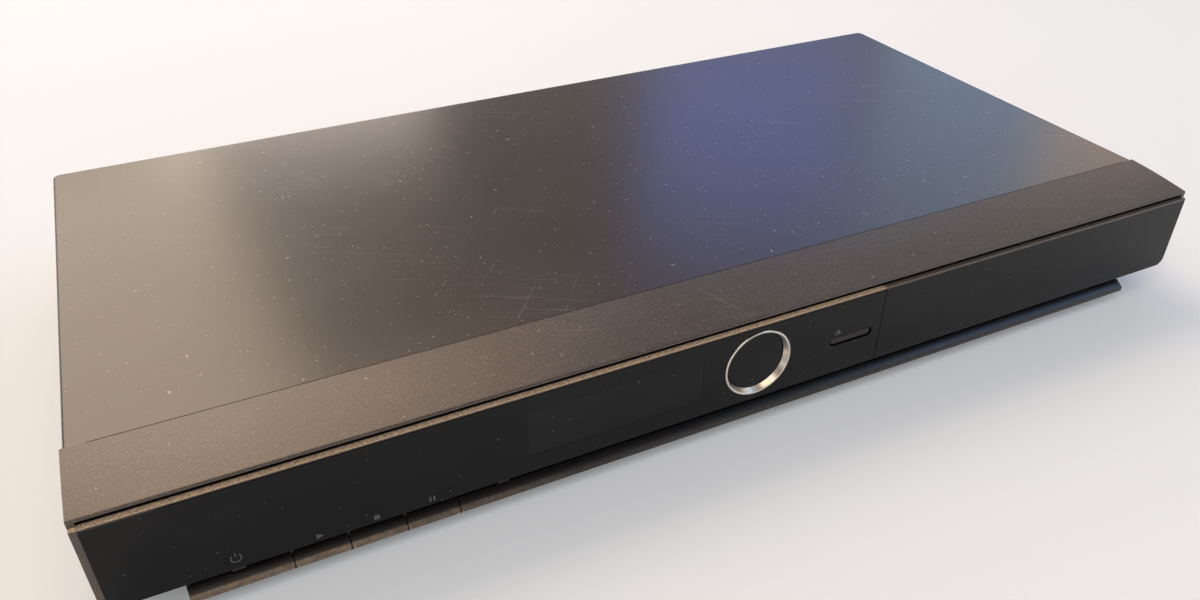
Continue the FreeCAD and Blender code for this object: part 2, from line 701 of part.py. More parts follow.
def make_light_guide(x):
    """A small clear bar: its nub shows at the fascia's lower edge, its tail reaches the lamp."""
    z1 = FASCIA_BOTTOM - 0.1
    z0 = z1 - GUIDE_H
    steps = [(FACE + 0.6, z1), (FACE + 0.3, z1 - 0.5), (FACE + 0.6, z0), (SWITCH_Y - 1.5, z0), (SWITCH_Y - 1.5, z1)]
    return prism("yz", steps, x - GUIDE_W / 2, x + GUIDE_W / 2)


def make_tray_front():
    """The carrier behind the gloss plate: a thin bar along the top and stiffening ribs behind."""
    x0 = SEAM_X + 0.25
    z1 = FASCIA_TOP - 0.1
    plate = block(x0, HALF, POCKET_BACK, LID_BACK, FASCIA_BOTTOM, z1)
    bar = block(x0, HALF, FACE, POCKET_BACK, z1 - LID_BAR, z1)
    body = join([plate, bar])
    top_edge = [e for e in body.Edges if abs(e.CenterOfMass.y - FACE) < 1e-6 and abs(e.CenterOfMass.z - z1) < 1e-6]
    body = body.makeFillet(0.35, top_edge)
    return body.cut(corner_cut(HALF, FASCIA_BOTTOM, FASCIA_CORNER, 1, FACE - 1, LID_BACK + 1))


def corner_cut(x, z, r, side, y0, y1):
    """What a rounded lower corner leaves out. Side is 1 for a right-hand corner, -1 for a left-hand one."""
    bend = r * (1 - math.sqrt(0.5))
    steps = [(x - side * r, z - 1), (x + side, z - 1), (x + side, z + r), (x, z + r),
             ((x - side * bend, z + bend), (x - side * r, z))]
    return prism("xz", steps, y0, y1)


def make_tray_fascia():
    x0 = SEAM_X + 0.25
    plate = block(x0, HALF, FACE, POCKET_BACK, FASCIA_BOTTOM, FASCIA_TOP - 0.1 - LID_BAR)
    return plate.cut(corner_cut(HALF, FASCIA_BOTTOM, FASCIA_CORNER, 1, FACE - 1, LID_BACK + 1))


def make_disc_tray():
    """The tray: recess with a step for small discs, a slot for the laser, rails and the rack."""
    x0 = TRAY_X - TRAY_HALF
    x1 = TRAY_X + TRAY_HALF
    plate = block(x0, x1, LID_BACK, TRAY_BACK, TRAY_UNDER, TRAY_TOP)
    recess = rod_z(TRAY_X, SPINDLE_Y, RECESS_R, RECESS_Z, TRAY_TOP + 1)
    small = rod_z(TRAY_X, SPINDLE_Y, SMALL_DISC_R + 0.5, RECESS_Z - SMALL_STEP, TRAY_TOP + 1)
    half_slot = LASER_SLOT_W / 2
    slot = block(TRAY_X - half_slot, TRAY_X + half_slot, SPINDLE_Y, TAIL_BACK + 1, TRAY_UNDER - 1, TRAY_TOP + 1)
    hub = rod_z(TRAY_X, SPINDLE_Y, half_slot, TRAY_UNDER - 1, TRAY_TOP + 1)
    finger = Part.makeCylinder(13, 12, V(TRAY_X, LID_BACK + 3, RECESS_Z), V(0, 0, 1))
    dip = finger.cut(block(TRAY_X - 20, TRAY_X + 20, LID_BACK - 20, LID_BACK + 3.5, 0, TOP))
    plate = plate.cut([recess, small, slot, hub, dip])

    arm_in = TRAY_HALF - 24
    arms = []
    for side in (-1, 1):
        a = TRAY_X + side * TRAY_HALF
        b = TRAY_X + side * arm_in
        arm = block(min(a, b), max(a, b), TRAY_BACK - 1, TAIL_BACK, TRAY_UNDER, RECESS_Z)
        arms.append(arm)
    rail_x = TRAY_X + (TRAY_X - RACK_X)
    arms.append(block(rail_x - 2, rail_x, LID_BACK + 10, TAIL_BACK, TRAY_UNDER - 3, TRAY_UNDER + 0.5))
    return join([plate] + arms + [make_rack()])


def make_rack():
    """Rack teeth that face away from the spindle, on a bar under the tray."""
    pitch = math.pi * GEAR_MODULE
    lean = math.tan(math.radians(20))
    half_tooth = (pitch / 2 - BACKLASH) / 2
    tip = RACK_X - 0.9 * GEAR_MODULE
    root = RACK_X + 1.2 * GEAR_MODULE
    half_tip = half_tooth - 0.9 * GEAR_MODULE * lean
    half_root = half_tooth + 1.2 * GEAR_MODULE * lean
    steps = [(root + RACK_BACK, RACK_START), (root, RACK_START)]
    for i in range(RACK_TEETH):
        y = RACK_START + pitch * (i + 0.5)
        steps += [(root, y - half_root), (tip, y - half_tip), (tip, y + half_tip), (root, y + half_root)]
    end = RACK_START + pitch * RACK_TEETH
    steps += [(root, end), (root + RACK_BACK, end)]
    return prism("xy", steps, RACK_Z, TRAY_UNDER + 0.5)


def rack_phase():
    """The angle that puts a space of the drive pinion on the rack tooth at its height."""
    pitch = math.pi * GEAR_MODULE
    offset = (DRIVE_Y - RACK_START) / pitch - 0.5
    past = (offset - math.floor(offset)) * pitch
    tooth_angle = math.degrees(-past / DRIVE_PITCH_R)
    return tooth_angle + 180.0 / DRIVE_PINION_TEETH


def make_drive_gear():
    """The pinion that moves the rack and the wheel under it, on one hub."""
    bore = SHAFT_R + RUN_GAP
    pinion = gear(DRIVE_X, DRIVE_Y, WHEEL_TOP, PINION_TOP, DRIVE_PINION_TEETH, bore, rack_phase())
    wheel = gear(DRIVE_X, DRIVE_Y, WHEEL_Z, WHEEL_TOP, DRIVE_WHEEL_TEETH, bore, 0.0)
    hub = rod_z(DRIVE_X, DRIVE_Y, 3.5, DECK_TOP + 0.3, WHEEL_Z).cut(
        rod_z(DRIVE_X, DRIVE_Y, bore, DECK_TOP, WHEEL_Z + 1))
    return join([pinion, wheel, hub])


def make_belt_pulley():
    """The pulley for the belt and its pinion, which turns the drive wheel."""
    bore = SHAFT_R + RUN_GAP
    phase = 180.0 + 180.0 / PULLEY_PINION_TEETH
    pinion = gear(PULLEY_X, DRIVE_Y, BELT_TOP, WHEEL_TOP, PULLEY_PINION_TEETH, bore, phase)
    return join([pinion, grooved_pulley(PULLEY_X, BELT_PULLEY_R, bore)])


def grooved_pulley(x, r, bore):
    """A pulley with a groove between two flanges."""
    flange = r + BELT_FLANGE
    z0 = BELT_Z
    z1 = BELT_TOP
    lip = (z1 - z0 - BELT_SIZE - 0.4) / 2
    steps = [(x + bore, z0), (x + flange, z0), (x + flange, z0 + lip), (x + r - BELT_SIZE / 2, z0 + lip),
             (x + r - BELT_SIZE / 2, z1 - lip), (x + flange, z1 - lip), (x + flange, z1), (x + bore, z1)]
    return spin("xz", steps, V(x, DRIVE_Y, z0), V(0, 0, 1))


def make_motor_pulley():
    return grooved_pulley(MOTOR_X, MOTOR_PULLEY_R, MOTOR_SHAFT_R + 0.01)


def make_loading_belt():
    """A square belt round both pulleys, on their open tangents."""
    z0 = (BELT_Z + BELT_TOP - BELT_SIZE) / 2

    def loop(grow):
        big = BELT_PULLEY_R + grow
        small = MOTOR_PULLEY_R + grow
        tilt = math.acos((big - small) / MOTOR_SPACING)
        bx = big * math.cos(tilt)
        by = big * math.sin(tilt)
        sx = small * math.cos(tilt)
        sy = small * math.sin(tilt)
        steps = [(PULLEY_X + bx, DRIVE_Y + by), ((PULLEY_X - big, DRIVE_Y), (PULLEY_X + bx, DRIVE_Y - by)),
                 (MOTOR_X + sx, DRIVE_Y - sy), ((MOTOR_X + small, DRIVE_Y), (MOTOR_X + sx, DRIVE_Y + sy))]
        return prism("xy", steps, z0, z0 + BELT_SIZE)

    seat = 0.1 - BELT_SIZE / 2
    return loop(seat + BELT_SIZE).cut(loop(seat))


def make_loading_motor():
    can_top = DECK_TOP - DECK_THICK
    low = can_top - MOTOR_H
    can = rod_z(MOTOR_X, DRIVE_Y, MOTOR_R, low, can_top)
    can = can.makeFillet(0.8, [edge for edge in can.Edges if abs(edge.CenterOfMass.z - low) < 1e-6])
    neck = rod_z(MOTOR_X, DRIVE_Y, 2.8, can_top, DECK_TOP + 0.2)
    shaft = rod_z(MOTOR_X, DRIVE_Y, MOTOR_SHAFT_R, can_top, BELT_TOP + 0.3)
    return join([can, neck, shaft])


def make_loader_frame():
    """The loader's moulded frame: side walls with tray guides, gear deck, cam guide and pivot ears."""
    t = LOADER_WALL
    tub = block(LOADER_LEFT, LOADER_RIGHT, LOADER_FRONT, LOADER_BACK, LOADER_BOTTOM, BRIDGE_Z)
    inner = block(LOADER_LEFT + t, LOADER_RIGHT - t, LOADER_FRONT + t, LOADER_BACK - t, 0, TOP)
    gate = block(TRAY_X - TRAY_HALF - MOUTH_SIDE, TRAY_X + TRAY_HALF + MOUTH_SIDE, LOADER_FRONT - 1,
                 LOADER_FRONT + t + 1, MOUTH_LOW - 0.4, TOP)
    back_gate = block(LOADER_LEFT + 12, LOADER_RIGHT - 12, LOADER_BACK - t - 1, LOADER_BACK + 1, TRAVERSE_TOP, TOP)
    side_cut = []
    for y in (SPINDLE_Y - 48, SPINDLE_Y + 48):
        side_cut.append(block(LOADER_LEFT - 1, LOADER_RIGHT + 1, y - 12, y + 12, LOADER_BOTTOM + 4, TRAY_UNDER - 6))
    corner = block(CHIN_HALF - WALL - 0.6, LOADER_RIGHT + 1, LOADER_FRONT - 1,
                   FACE + CHIN_RUN + CHIN_SLOPE + WALL + 0.6, 0, FASCIA_BOTTOM + WALL + 0.6)
    screws = [rod_z(x, y, BRIDGE_SCREW_R, BRIDGE_Z - 6, TOP) for x, y in bridge_screw_places()]
    tub = tub.cut([inner, gate, back_gate, corner] + side_cut + screws)

    pieces = []
    guide_top = TRAY_UNDER - 0.3
    left_ledge = LOADER_LEFT + t + 8
    right_ledge = LOADER_RIGHT - t - 8
    wheel_clear = DRIVE_Y + GEAR_MODULE * (DRIVE_WHEEL_TEETH / 2 + 1.5)
    pieces.append(block(LOADER_LEFT + 1, left_ledge, wheel_clear, LOADER_BACK - 1, guide_top - 2, guide_top))
    pieces.append(block(right_ledge, LOADER_RIGHT - 1, LOADER_FRONT + 1, LOADER_BACK - 1, guide_top - 2, guide_top))
    for y in (LOADER_FRONT + 6, SPINDLE_Y + 40, LOADER_BACK - 24):
        for side in (-1, 1):
            wall = TRAY_X + side * (LOADER_W / 2 - 1)
            tip = TRAY_X + side * (TRAY_HALF - 2.5)
            lip_z = TRAY_TOP + MOVE_GAP
            pieces.append(block(min(wall, tip), max(wall, tip), y, y + 10, lip_z, lip_z + 1.6))

    deck_back = CAM_Y - CAM_PLATE / 2 - MOVE_GAP
    deck = block(LOADER_LEFT + 1, LOADER_RIGHT - 1, LOADER_FRONT + 1, deck_back, DECK_TOP - DECK_THICK, DECK_TOP)
    deck = deck.cut(rod_z(MOTOR_X, DRIVE_Y, 3.0, 0, TOP))
    pieces.append(deck)
    for x, top in ((DRIVE_X, PINION_TOP - 0.3), (PULLEY_X, WHEEL_TOP + 0.4)):
        pieces.append(rod_z(x, DRIVE_Y, SHAFT_R, DECK_TOP - 1, top))
        pieces.append(rod_z(x, DRIVE_Y, 2.6, DECK_TOP - 1, DECK_TOP + 0.15))

    bar_back = CAM_Y + CAM_PLATE / 2 + 3.5
    bar = block(LOADER_LEFT + 1, LOADER_RIGHT - 1, deck_back - 3, bar_back, LOADER_BOTTOM, CROSSBAR_TOP)
    groove = block(LOADER_LEFT - 1, LOADER_RIGHT + 1, deck_back, CAM_Y + CAM_PLATE / 2 + MOVE_GAP,
                   CROSSBAR_TOP - 2, CROSSBAR_TOP + 1)
    pieces.append(bar.cut(groove.common(block(LOADER_LEFT + t, LOADER_RIGHT - t, FACE, BACK, 0, TOP))))
    pieces.append(block(LOADER_LEFT + 1, LOADER_RIGHT - 1, deck_back - 3, deck_back, CROSSBAR_TOP - 1, DECK_TOP))

    rear_deck = PIVOT_Y + 9
    pieces.append(block(LOADER_LEFT + 1, LOADER_RIGHT - 1, rear_deck, LOADER_BACK - 1,
                        LOADER_BOTTOM, LOADER_BOTTOM + 2.5))
    ear_z = PIVOT_Z + PIVOT_R + 2.5
    for side in (-1, 1):
        a = TRAY_X + side * (TRAVERSE_W / 2 + MOVE_GAP)
        b = a + side * 4.0
        ear = block(min(a, b), max(a, b), PIVOT_Y - 5, rear_deck + 3, LOADER_BOTTOM, ear_z)
        ear = ear.cut(rod_x(PIVOT_Y, PIVOT_Z, PIVOT_R + RUN_GAP, LOADER_LEFT, LOADER_RIGHT))
        pieces.append(ear)
    frame = join([tub] + pieces)

    feet = []
    for x, y in loader_ears():
        feet.append(round_plate(x - EAR_HALF, x + EAR_HALF, y - EAR_HALF, y + EAR_HALF,
                                LOADER_BOTTOM, LOADER_BOTTOM + EAR_THICK, EAR_HALF / 2))
    holes = [rod_z(x, y, SCREW_SHANK_R + 0.3, LOADER_BOTTOM - 1, LOADER_BOTTOM + 4) for x, y in loader_ears()]
    return join([frame] + feet).cut(holes)


def loader_ears():
    """The four ears that the loader is screwed down by."""
    x0 = LOADER_LEFT - EAR_REACH + EAR_HALF
    x1 = LOADER_RIGHT - LOADER_WALL - EAR_HALF + 0.5
    y0 = LOADER_FRONT + 58
    y1 = LOADER_BACK - 12
    return [(x0, y0), (x0, y1), (x1, y0), (x1, y1)]


def make_clamp_bridge():
    """A pressed steel bridge over the tray, with a round hole for the clamper and two long beads."""
    half = BRIDGE_WIDTH / 2
    plate = round_plate(LOADER_LEFT, LOADER_RIGHT, SPINDLE_Y - half, SPINDLE_Y + half, BRIDGE_Z, BRIDGE_TOP, 4.0)
    hole = rod_z(TRAY_X, SPINDLE_Y, CLAMPER_NECK_R + MOVE_GAP, BRIDGE_Z - 1, BRIDGE_TOP + 1)
    beads = []
    for y in (SPINDLE_Y - half + 6, SPINDLE_Y + half - 6):
        for side in (-1, 1):
            x = TRAY_X + side * 42
            bead = block(x - 16, x + 16, y - 2, y + 2, BRIDGE_TOP - 0.2, BRIDGE_TOP + 0.9)
            beads.append(bead.makeFillet(1.9, upright_edges(bead, V(0, 0, 1))))
    holes = [rod_z(x, y, BRIDGE_SCREW_R + 0.15, BRIDGE_Z - 1, BRIDGE_TOP + 1) for x, y in bridge_screw_places()]
    return join([plate] + beads).cut([hole] + holes)


def bridge_screw_places():
    half = BRIDGE_WIDTH / 2
    x0 = LOADER_LEFT + LOADER_WALL / 2 + 0.4
    x1 = LOADER_RIGHT - LOADER_WALL / 2 - 0.4
    return [(x, y) for x in (x0, x1) for y in (SPINDLE_Y - half + 7, SPINDLE_Y + half - 7)]


def make_clamper():
    """The disc clamper: a wide foot, a neck through the bridge and a flange above it."""
    x = TRAY_X
    foot_top = CLAMPER_LOW + 2.6
    steps = [(x + HUB_R + 1.2, CLAMPER_LOW), (x + CLAMPER_R, CLAMPER_LOW), (x + CLAMPER_R, foot_top),
             (x + CLAMPER_NECK_R, BRIDGE_Z - MOVE_GAP), (x + CLAMPER_NECK_R, CLAMPER_TOP),
             (x + CLAMPER_R - 2, CLAMPER_TOP), (x + CLAMPER_R - 2, CLAMPER_TOP + 1.2), (x, CLAMPER_TOP + 1.2),
             (x, CLAMPER_LOW + 2.0), (x + HUB_R + 1.2, CLAMPER_LOW + 2.0)]
    return spin("xz", steps, V(x, SPINDLE_Y, 0), V(0, 0, 1))


def make_traverse_chassis():
    """A steel sub-chassis: a plate with a window and skirts, rod brackets, rear pivots and a cam pin."""
    half = TRAVERSE_W / 2
    x0 = TRAY_X - half
    x1 = TRAY_X + half
    shell = block(x0, x1, TRAVERSE_FRONT, TRAVERSE_BACK, TRAVERSE_TOP - TRAVERSE_SKIRT, TRAVERSE_TOP)
    t = TRAVERSE_PLATE
    inside = block(x0 + t, x1 - t, TRAVERSE_FRONT + t, TRAVERSE_BACK - t, 0, TRAVERSE_TOP - t)
    motor = rod_z(TRAY_X, SPINDLE_Y, SPINDLE_MOTOR_R + 0.3, 0, TOP)
    shell = shell.cut([inside, sled_window(), motor])
    pieces = [shell]
    front, rear = rod_ends()
    under = TRAVERSE_TOP - t + 0.2
    for side in (-1, 1):
        x = TRAY_X + side * ROD_SPACING / 2
        inner = CLIP_HALF if side < 0 else x - SCREW_X + SCREW_R + 1.5
        for y in (front, rear):
            reach = inner if y == front else CLIP_HALF
            clip = block(x - reach, x + CLIP_HALF, y - 2, y + 2, ROD_Z - ROD_R - 1.7, under)
            clip = clip.cut(rod_y(x, ROD_Z, ROD_R + 0.02, y - 3, y + 3))
            pieces.append(clip.cut(rod_y(SCREW_X, ROD_Z, SCREW_R + RUN_GAP, y - 3, y + 3)))
        a = TRAY_X + side * (half - 0.5)
        b = TRAY_X + side * (half + MOVE_GAP + 4.0)
        pieces.append(rod_x(PIVOT_Y, PIVOT_Z, PIVOT_R, min(a, b), max(a, b)))
    pieces.append(rod_y(CAM_PIN_X, PIVOT_Z, CAM_PIN_R, CAM_Y - CAM_PLATE / 2, TRAVERSE_FRONT + 1))
    return join(pieces)


def sled_window():
    """The window that the sled moves in. It is shorter on the sled motor's side."""
    x0 = TRAY_X - ROD_SPACING / 2 - 5
    x1 = TRAY_X + ROD_SPACING / 2 + 5
    y0 = SPINDLE_Y + 11
    short = SLED_FRONT + SLED_ARM_END + SLED_TRAVEL + 1.0
    long = SLED_FRONT + SLED_L + SLED_TRAVEL + 1.0
    steps = [(x0, y0), (x1, y0), (x1, short), (TRAY_X + 16, short), (TRAY_X + 16, long), (x0, long)]
    return prism("xy", steps, 0, TOP)


def rod_ends():
    """Where the brackets of the guide rods stand, front and back."""
    return [SPINDLE_Y + 8.5, PIVOT_Y - 4.0]


def make_guide_rods():
    y0 = rod_ends()[0] - 2
    y1 = rod_ends()[1] + 2
    rods = []
    for side in (-1, 1):
        rods.append(rod_y(TRAY_X + side * ROD_SPACING / 2, ROD_Z, ROD_R, y0, y1))
    return Part.makeCompound(rods)


def make_spindle_motor():
    """The flat spindle motor: its base plate is held under the traverse's plate."""
    top = TRAVERSE_TOP - TRAVERSE_PLATE
    base = round_plate(TRAY_X - 15, TRAY_X + 15, SPINDLE_Y - 14, SPINDLE_Y + 7.5, top - 1.0, top, 3.0)
    stator = rod_z(TRAY_X, SPINDLE_Y, SPINDLE_MOTOR_R - 1.5, top - SPINDLE_MOTOR_H, SEAT_Z - 2.4)
    return join([base, stator])


def make_turntable():
    """The rotor cap, the disc seat and the tapered hub that centres the disc."""
    x = TRAY_X
    seat = SEAT_Z
    steps = [(x, seat - 2.1), (x + TABLE_R - 0.6, seat - 2.1), (x + TABLE_R, seat - 1.6), (x + TABLE_R, seat),
             (x + HUB_R, seat), (x + HUB_R, seat + 0.8), (x + HUB_R - 1.2, seat + 1.9), (x, seat + 1.9)]
    return spin("xz", steps, V(x, SPINDLE_Y, 0), V(0, 0, 1))


def make_lead_screw():
    """The screw that moves the sled, beside the right-hand guide rod."""
    return rod_y(SCREW_X, ROD_Z, SCREW_R, rod_ends()[0] - 1, SLED_MOTOR_FRONT - 0.3)


def make_sled_motor():
    """A small round motor with flat sides, hung under the traverse's plate."""
    z1 = TRAVERSE_TOP - TRAVERSE_PLATE
    can = rod_y(SCREW_X, ROD_Z, SLED_MOTOR_R, SLED_MOTOR_FRONT, SLED_MOTOR_FRONT + SLED_MOTOR_L)
    side = SLED_MOTOR_R + 2
    top = block(SCREW_X - side, SCREW_X + side, SPINDLE_Y, BACK, z1, TOP)
    low = block(SCREW_X - side, SCREW_X + side, SPINDLE_Y, BACK, 0, 2 * ROD_Z - z1)
    return can.cut([top, low])


def make_pickup_sled():
    """The laser sled: a die-cast body on two rods, hollowed under the lens, with a short arm at the screw."""
    y0 = SLED_FRONT
    y1 = y0 + SLED_L
    half = ROD_SPACING / 2
    z0 = ROD_Z - SLED_UNDER
    z1 = SLED_TOP
    left = TRAY_X - half - 4
    right = TRAY_X + half + 4
    arm_y = y0 + SLED_ARM_END
    steps = [(left, y0 + 3), (left + 4, y0), (TRAY_X + 11, y0), (TRAY_X + 14, y0 + 2), (right, y0 + 2),
             (right, arm_y), (TRAY_X + 14, arm_y), (TRAY_X + 12, y1), (left + 4, y1), (left, y1 - 3)]
    body = prism("xy", steps, z0, z1)
    holes = [rod_y(TRAY_X - half, ROD_Z, ROD_R + RUN_GAP, y0 - 1, y1 + 1),
             rod_y(TRAY_X + half, ROD_Z, ROD_R + RUN_GAP, y0 - 1, y1 + 1),
             rod_y(SCREW_X, ROD_Z, SCREW_R + 0.3, y0 - 1, y1 + 1),
             block(TRAY_X - 9, TRAY_X + 9, y0 + 3, y1 - 3, z1 - 3.5, z1 + 1)]
    return body.cut(holes)


def make_pickup_lens():
    """The objective in its holder, over the sled's hollow."""
    x = TRAY_X
    y = SLED_FRONT + SLED_L / 2
    z1 = SLED_TOP
    holder = block(x - 8, x + 8, y - 6, y + 6, z1 - 3.5, z1 + 1.2)
    holder = holder.makeFillet(1.5, upright_edges(holder, V(0, 0, 1)))
    rim = rod_z(x, y, 3.2, z1 + 1.0, z1 + 1.7)
    ball = Part.makeSphere(4.0, V(x, y, z1 + 2.4 - 4.0))
    dome = ball.common(rod_z(x, y, 2.5, z1 + 1.0, z1 + 3))
    return join([holder, rim, dome])


def make_cam_slider():
    """The cam slider: an upright plate with a slanting slot for the traverse's pin."""
    y0 = CAM_Y - CAM_PLATE / 2
    y1 = CAM_Y + CAM_PLATE / 2
    x0 = CAM_PIN_X - CAM_TRAVEL - 10
    x1 = CAM_PIN_X + 9
    z0 = CROSSBAR_TOP - 2 + 0.3
    z1 = PIVOT_Z + CAM_PIN_R + 3.2
    plate = block(x0, x1, y0, y1, z0, z1)
    r = CAM_PIN_R + CAM_SLOT_PLAY
    a = V(CAM_PIN_X, 0, PIVOT_Z)
    b = V(CAM_PIN_X - CAM_TRAVEL, 0, PIVOT_Z - CAM_DROP)
    way = b.sub(a).normalize()
    side = V(-way.z, 0, way.x).multiply(r)
    cap_a = a.sub(V(way).multiply(r))
    cap_b = b.add(V(way).multiply(r))
    steps = [(a.x + side.x, a.z + side.z), (b.x + side.x, b.z + side.z),
             ((cap_b.x, cap_b.z), (b.x - side.x, b.z - side.z)), (a.x - side.x, a.z - side.z),
             ((cap_a.x, cap_a.z), (a.x + side.x, a.z + side.z))]
    return plate.cut(prism("xz", steps, y0 - 1, y1 + 1))


def make_top_cover():
    """The folded cover: top, two sides and a short lip down the back."""
    side_low = UNDER + 0.6
    outer = block(-COVER_HALF, COVER_HALF, COVER_FRONT, BACK, side_low, TOP)
    corners = [e for e in upright_edges(outer, V(0, 0, 1)) if abs(e.CenterOfMass.y - BACK) < 1e-6]
    outer = outer.makeFillet(COVER_CORNER, corners)
    bends = [e for e in outer.Edges if abs(e.BoundBox.ZMin - TOP) < 1e-6 and e.BoundBox.YMax > COVER_FRONT + 1]
    outer = outer.makeFillet(COVER_BEND, bends)
    inner = block(-COVER_HALF + SHEET, COVER_HALF - SHEET, COVER_FRONT - 1, BACK - SHEET, 0, CEILING)
    rear = [e for e in upright_edges(inner, V(0, 0, 1)) if abs(e.CenterOfMass.y - BACK + SHEET) < 1e-6]
    inner = inner.makeFillet(COVER_CORNER - SHEET, rear)
    folds = [e for e in inner.Edges if abs(e.BoundBox.ZMin - CEILING) < 1e-6 and e.BoundBox.YMax > COVER_FRONT]
    inner = inner.makeFillet(COVER_BEND - SHEET, folds)
    below_lip = block(-COVER_HALF + 2, COVER_HALF - 2, BACK - SHEET - 3, BACK + 1, 0, TOP - COVER_LIP)
    shell = outer.cut([inner, below_lip])
    holes = []
    for x, z in rear_screws():
        holes.append(rod_y(x, z, SCREW_SHANK_R + 0.2, BACK - 3, BACK + 1))
    for y, z in side_screws():
        holes.append(rod_x(y, z, SCREW_SHANK_R + 0.2, -HALF, HALF))
    return shell.cut(holes)


def rear_screws():
    end = COVER_HALF - CORNER_SCREW_INSET
    return [(x, TOP - COVER_SCREW_DROP) for x in (-end, (NETWORK_X + USB_X) / 2, end)]


def side_screws():
    return [(y, FLOOR + 6.0) for y in (COVER_FRONT + 24, BACK - 34)]


def make_cover_screws():
    screws = [pan_screw(x, BACK, z, V(0, -1, 0), 6.0, head_h=COVER_HEAD_H) for x, z in rear_screws()]
    for y, z in side_screws():
        screws.append(pan_screw(-COVER_HALF, y, z, V(1, 0, 0), 3.8, head_h=COVER_HEAD_H))
        screws.append(pan_screw(COVER_HALF, y, z, V(-1, 0, 0), 3.8, head_h=COVER_HEAD_H))
    return Part.makeCompound(screws)


def make_base_pan():
    """The bottom tray of sheet steel: upturned edges, vents, standoffs and pressed foot seats."""
    x = PAN_HALF
    y0 = COVER_FRONT
    y1 = PANEL_IN - FIT_GAP
    rim = 12.0
    floor = block(-x, x, y0, y1, UNDER, FLOOR)
    rear = [e for e in upright_edges(floor, V(0, 0, 1)) if abs(e.CenterOfMass.y - y1) < 1e-6]
    floor = floor.makeFillet(COVER_CORNER, rear)
    pieces = [floor,
              block(-x, -x + SHEET, y0, y1 - COVER_CORNER, UNDER, FLOOR + rim),
              block(x - SHEET, x, y0, y1 - COVER_CORNER, UNDER, FLOOR + rim)]
    for px, py in board_standoffs() + power_standoffs():
        pieces.append(rod_z(px, py, 2.6, FLOOR - 0.2, BOARD_Z))
    for px, py in loader_ears():
        pieces.append(rod_z(px, py, 3.5, FLOOR - 0.2, LOADER_BOTTOM))
    pan = join(pieces)
    holes = []
    power_middle = POWER_LEFT + POWER_BOARD_W / 2
    for cx, cy, count in ((power_middle, BACK - 95, 7), (CHIP_X, CHIP_Y, 9), (TRAY_X, LOADER_BACK - 40, 7)):
        for i in range(count):
            sx = cx + (i - (count - 1) / 2) * VENT_PITCH
            holes.append(block(sx - VENT_W / 2, sx + VENT_W / 2, cy - VENT_L / 2, cy + VENT_L / 2,
                               UNDER - 1, FLOOR + 1))
    for px, py in board_standoffs() + power_standoffs():
        holes.append(rod_z(px, py, SCREW_SHANK_R, FLOOR + 0.5, BOARD_Z + 1))
    for px, py in loader_ears():
        holes.append(rod_z(px, py, SCREW_SHANK_R, FLOOR + 0.5, LOADER_BOTTOM + 1))
    for y, z in side_screws():
        holes.append(rod_x(y, z, SCREW_SHANK_R, -HALF, HALF))
    for px, py in foot_places():
        holes.append(rod_z(px, py, 2.5, UNDER - 1, FLOOR + 1))
    return pan.cut(holes)


def foot_places():
    x = HALF - FOOT_INSET_X
    return [(sx * x, y) for sx in (-1, 1) for y in (COVER_FRONT + FOOT_R + 4, BACK - FOOT_INSET_Y)]


def make_feet():
    """Four round feet with a rounded lower edge, each held by a plug through the pan."""
    feet = []
    for x, y in foot_places():
        steps = [(x, 0), (x + FOOT_R - 2.0, 0), ((x + FOOT_R - 0.7, 0.6), (x + FOOT_R - 0.3, 2.0)),
                 (x + FOOT_R, UNDER), (x + 2.4, UNDER), (x + 2.4, FLOOR), (x + 3.1, FLOOR), (x + 2.4, FLOOR + 1.4),
                 (x, FLOOR + 1.4)]
        feet.append(spin("xz", steps, V(x, y, 0), V(0, 0, 1)))
    return Part.makeCompound(feet)


def port_boxes():
    """Each socket housing: name, middle, width, height over the board, depth and how far it stands out."""
    return {
        "hdmi": (HDMI_X, 15.0, 6.2, 12.0, 0.5),
        "network": (NETWORK_X, 16.0, 13.5, 16.0, 0.6),
        "usb": (USB_X, 13.2, 6.9, 14.0, 0.6),
        "optical": (OPTICAL_X, 9.8, 10.2, 13.0, 0.8),
        "inlet": (INLET_X, 22.0, 15.5, 20.0, 1.0),
    }


def port_shell(name):
    x, w, h, depth, proud = port_boxes()[name]
    y1 = PANEL_Y + proud
    return block(x - w / 2, x + w / 2, y1 - depth, y1, BOARD_TOP, BOARD_TOP + h)


def barrel_places():
    low = BOARD_TOP + BARREL_RISE
    rows = [low, low + BARREL_PITCH]
    return [(AV_X + (i - 1) * BARREL_PITCH, z) for z in rows for i in range(3)]


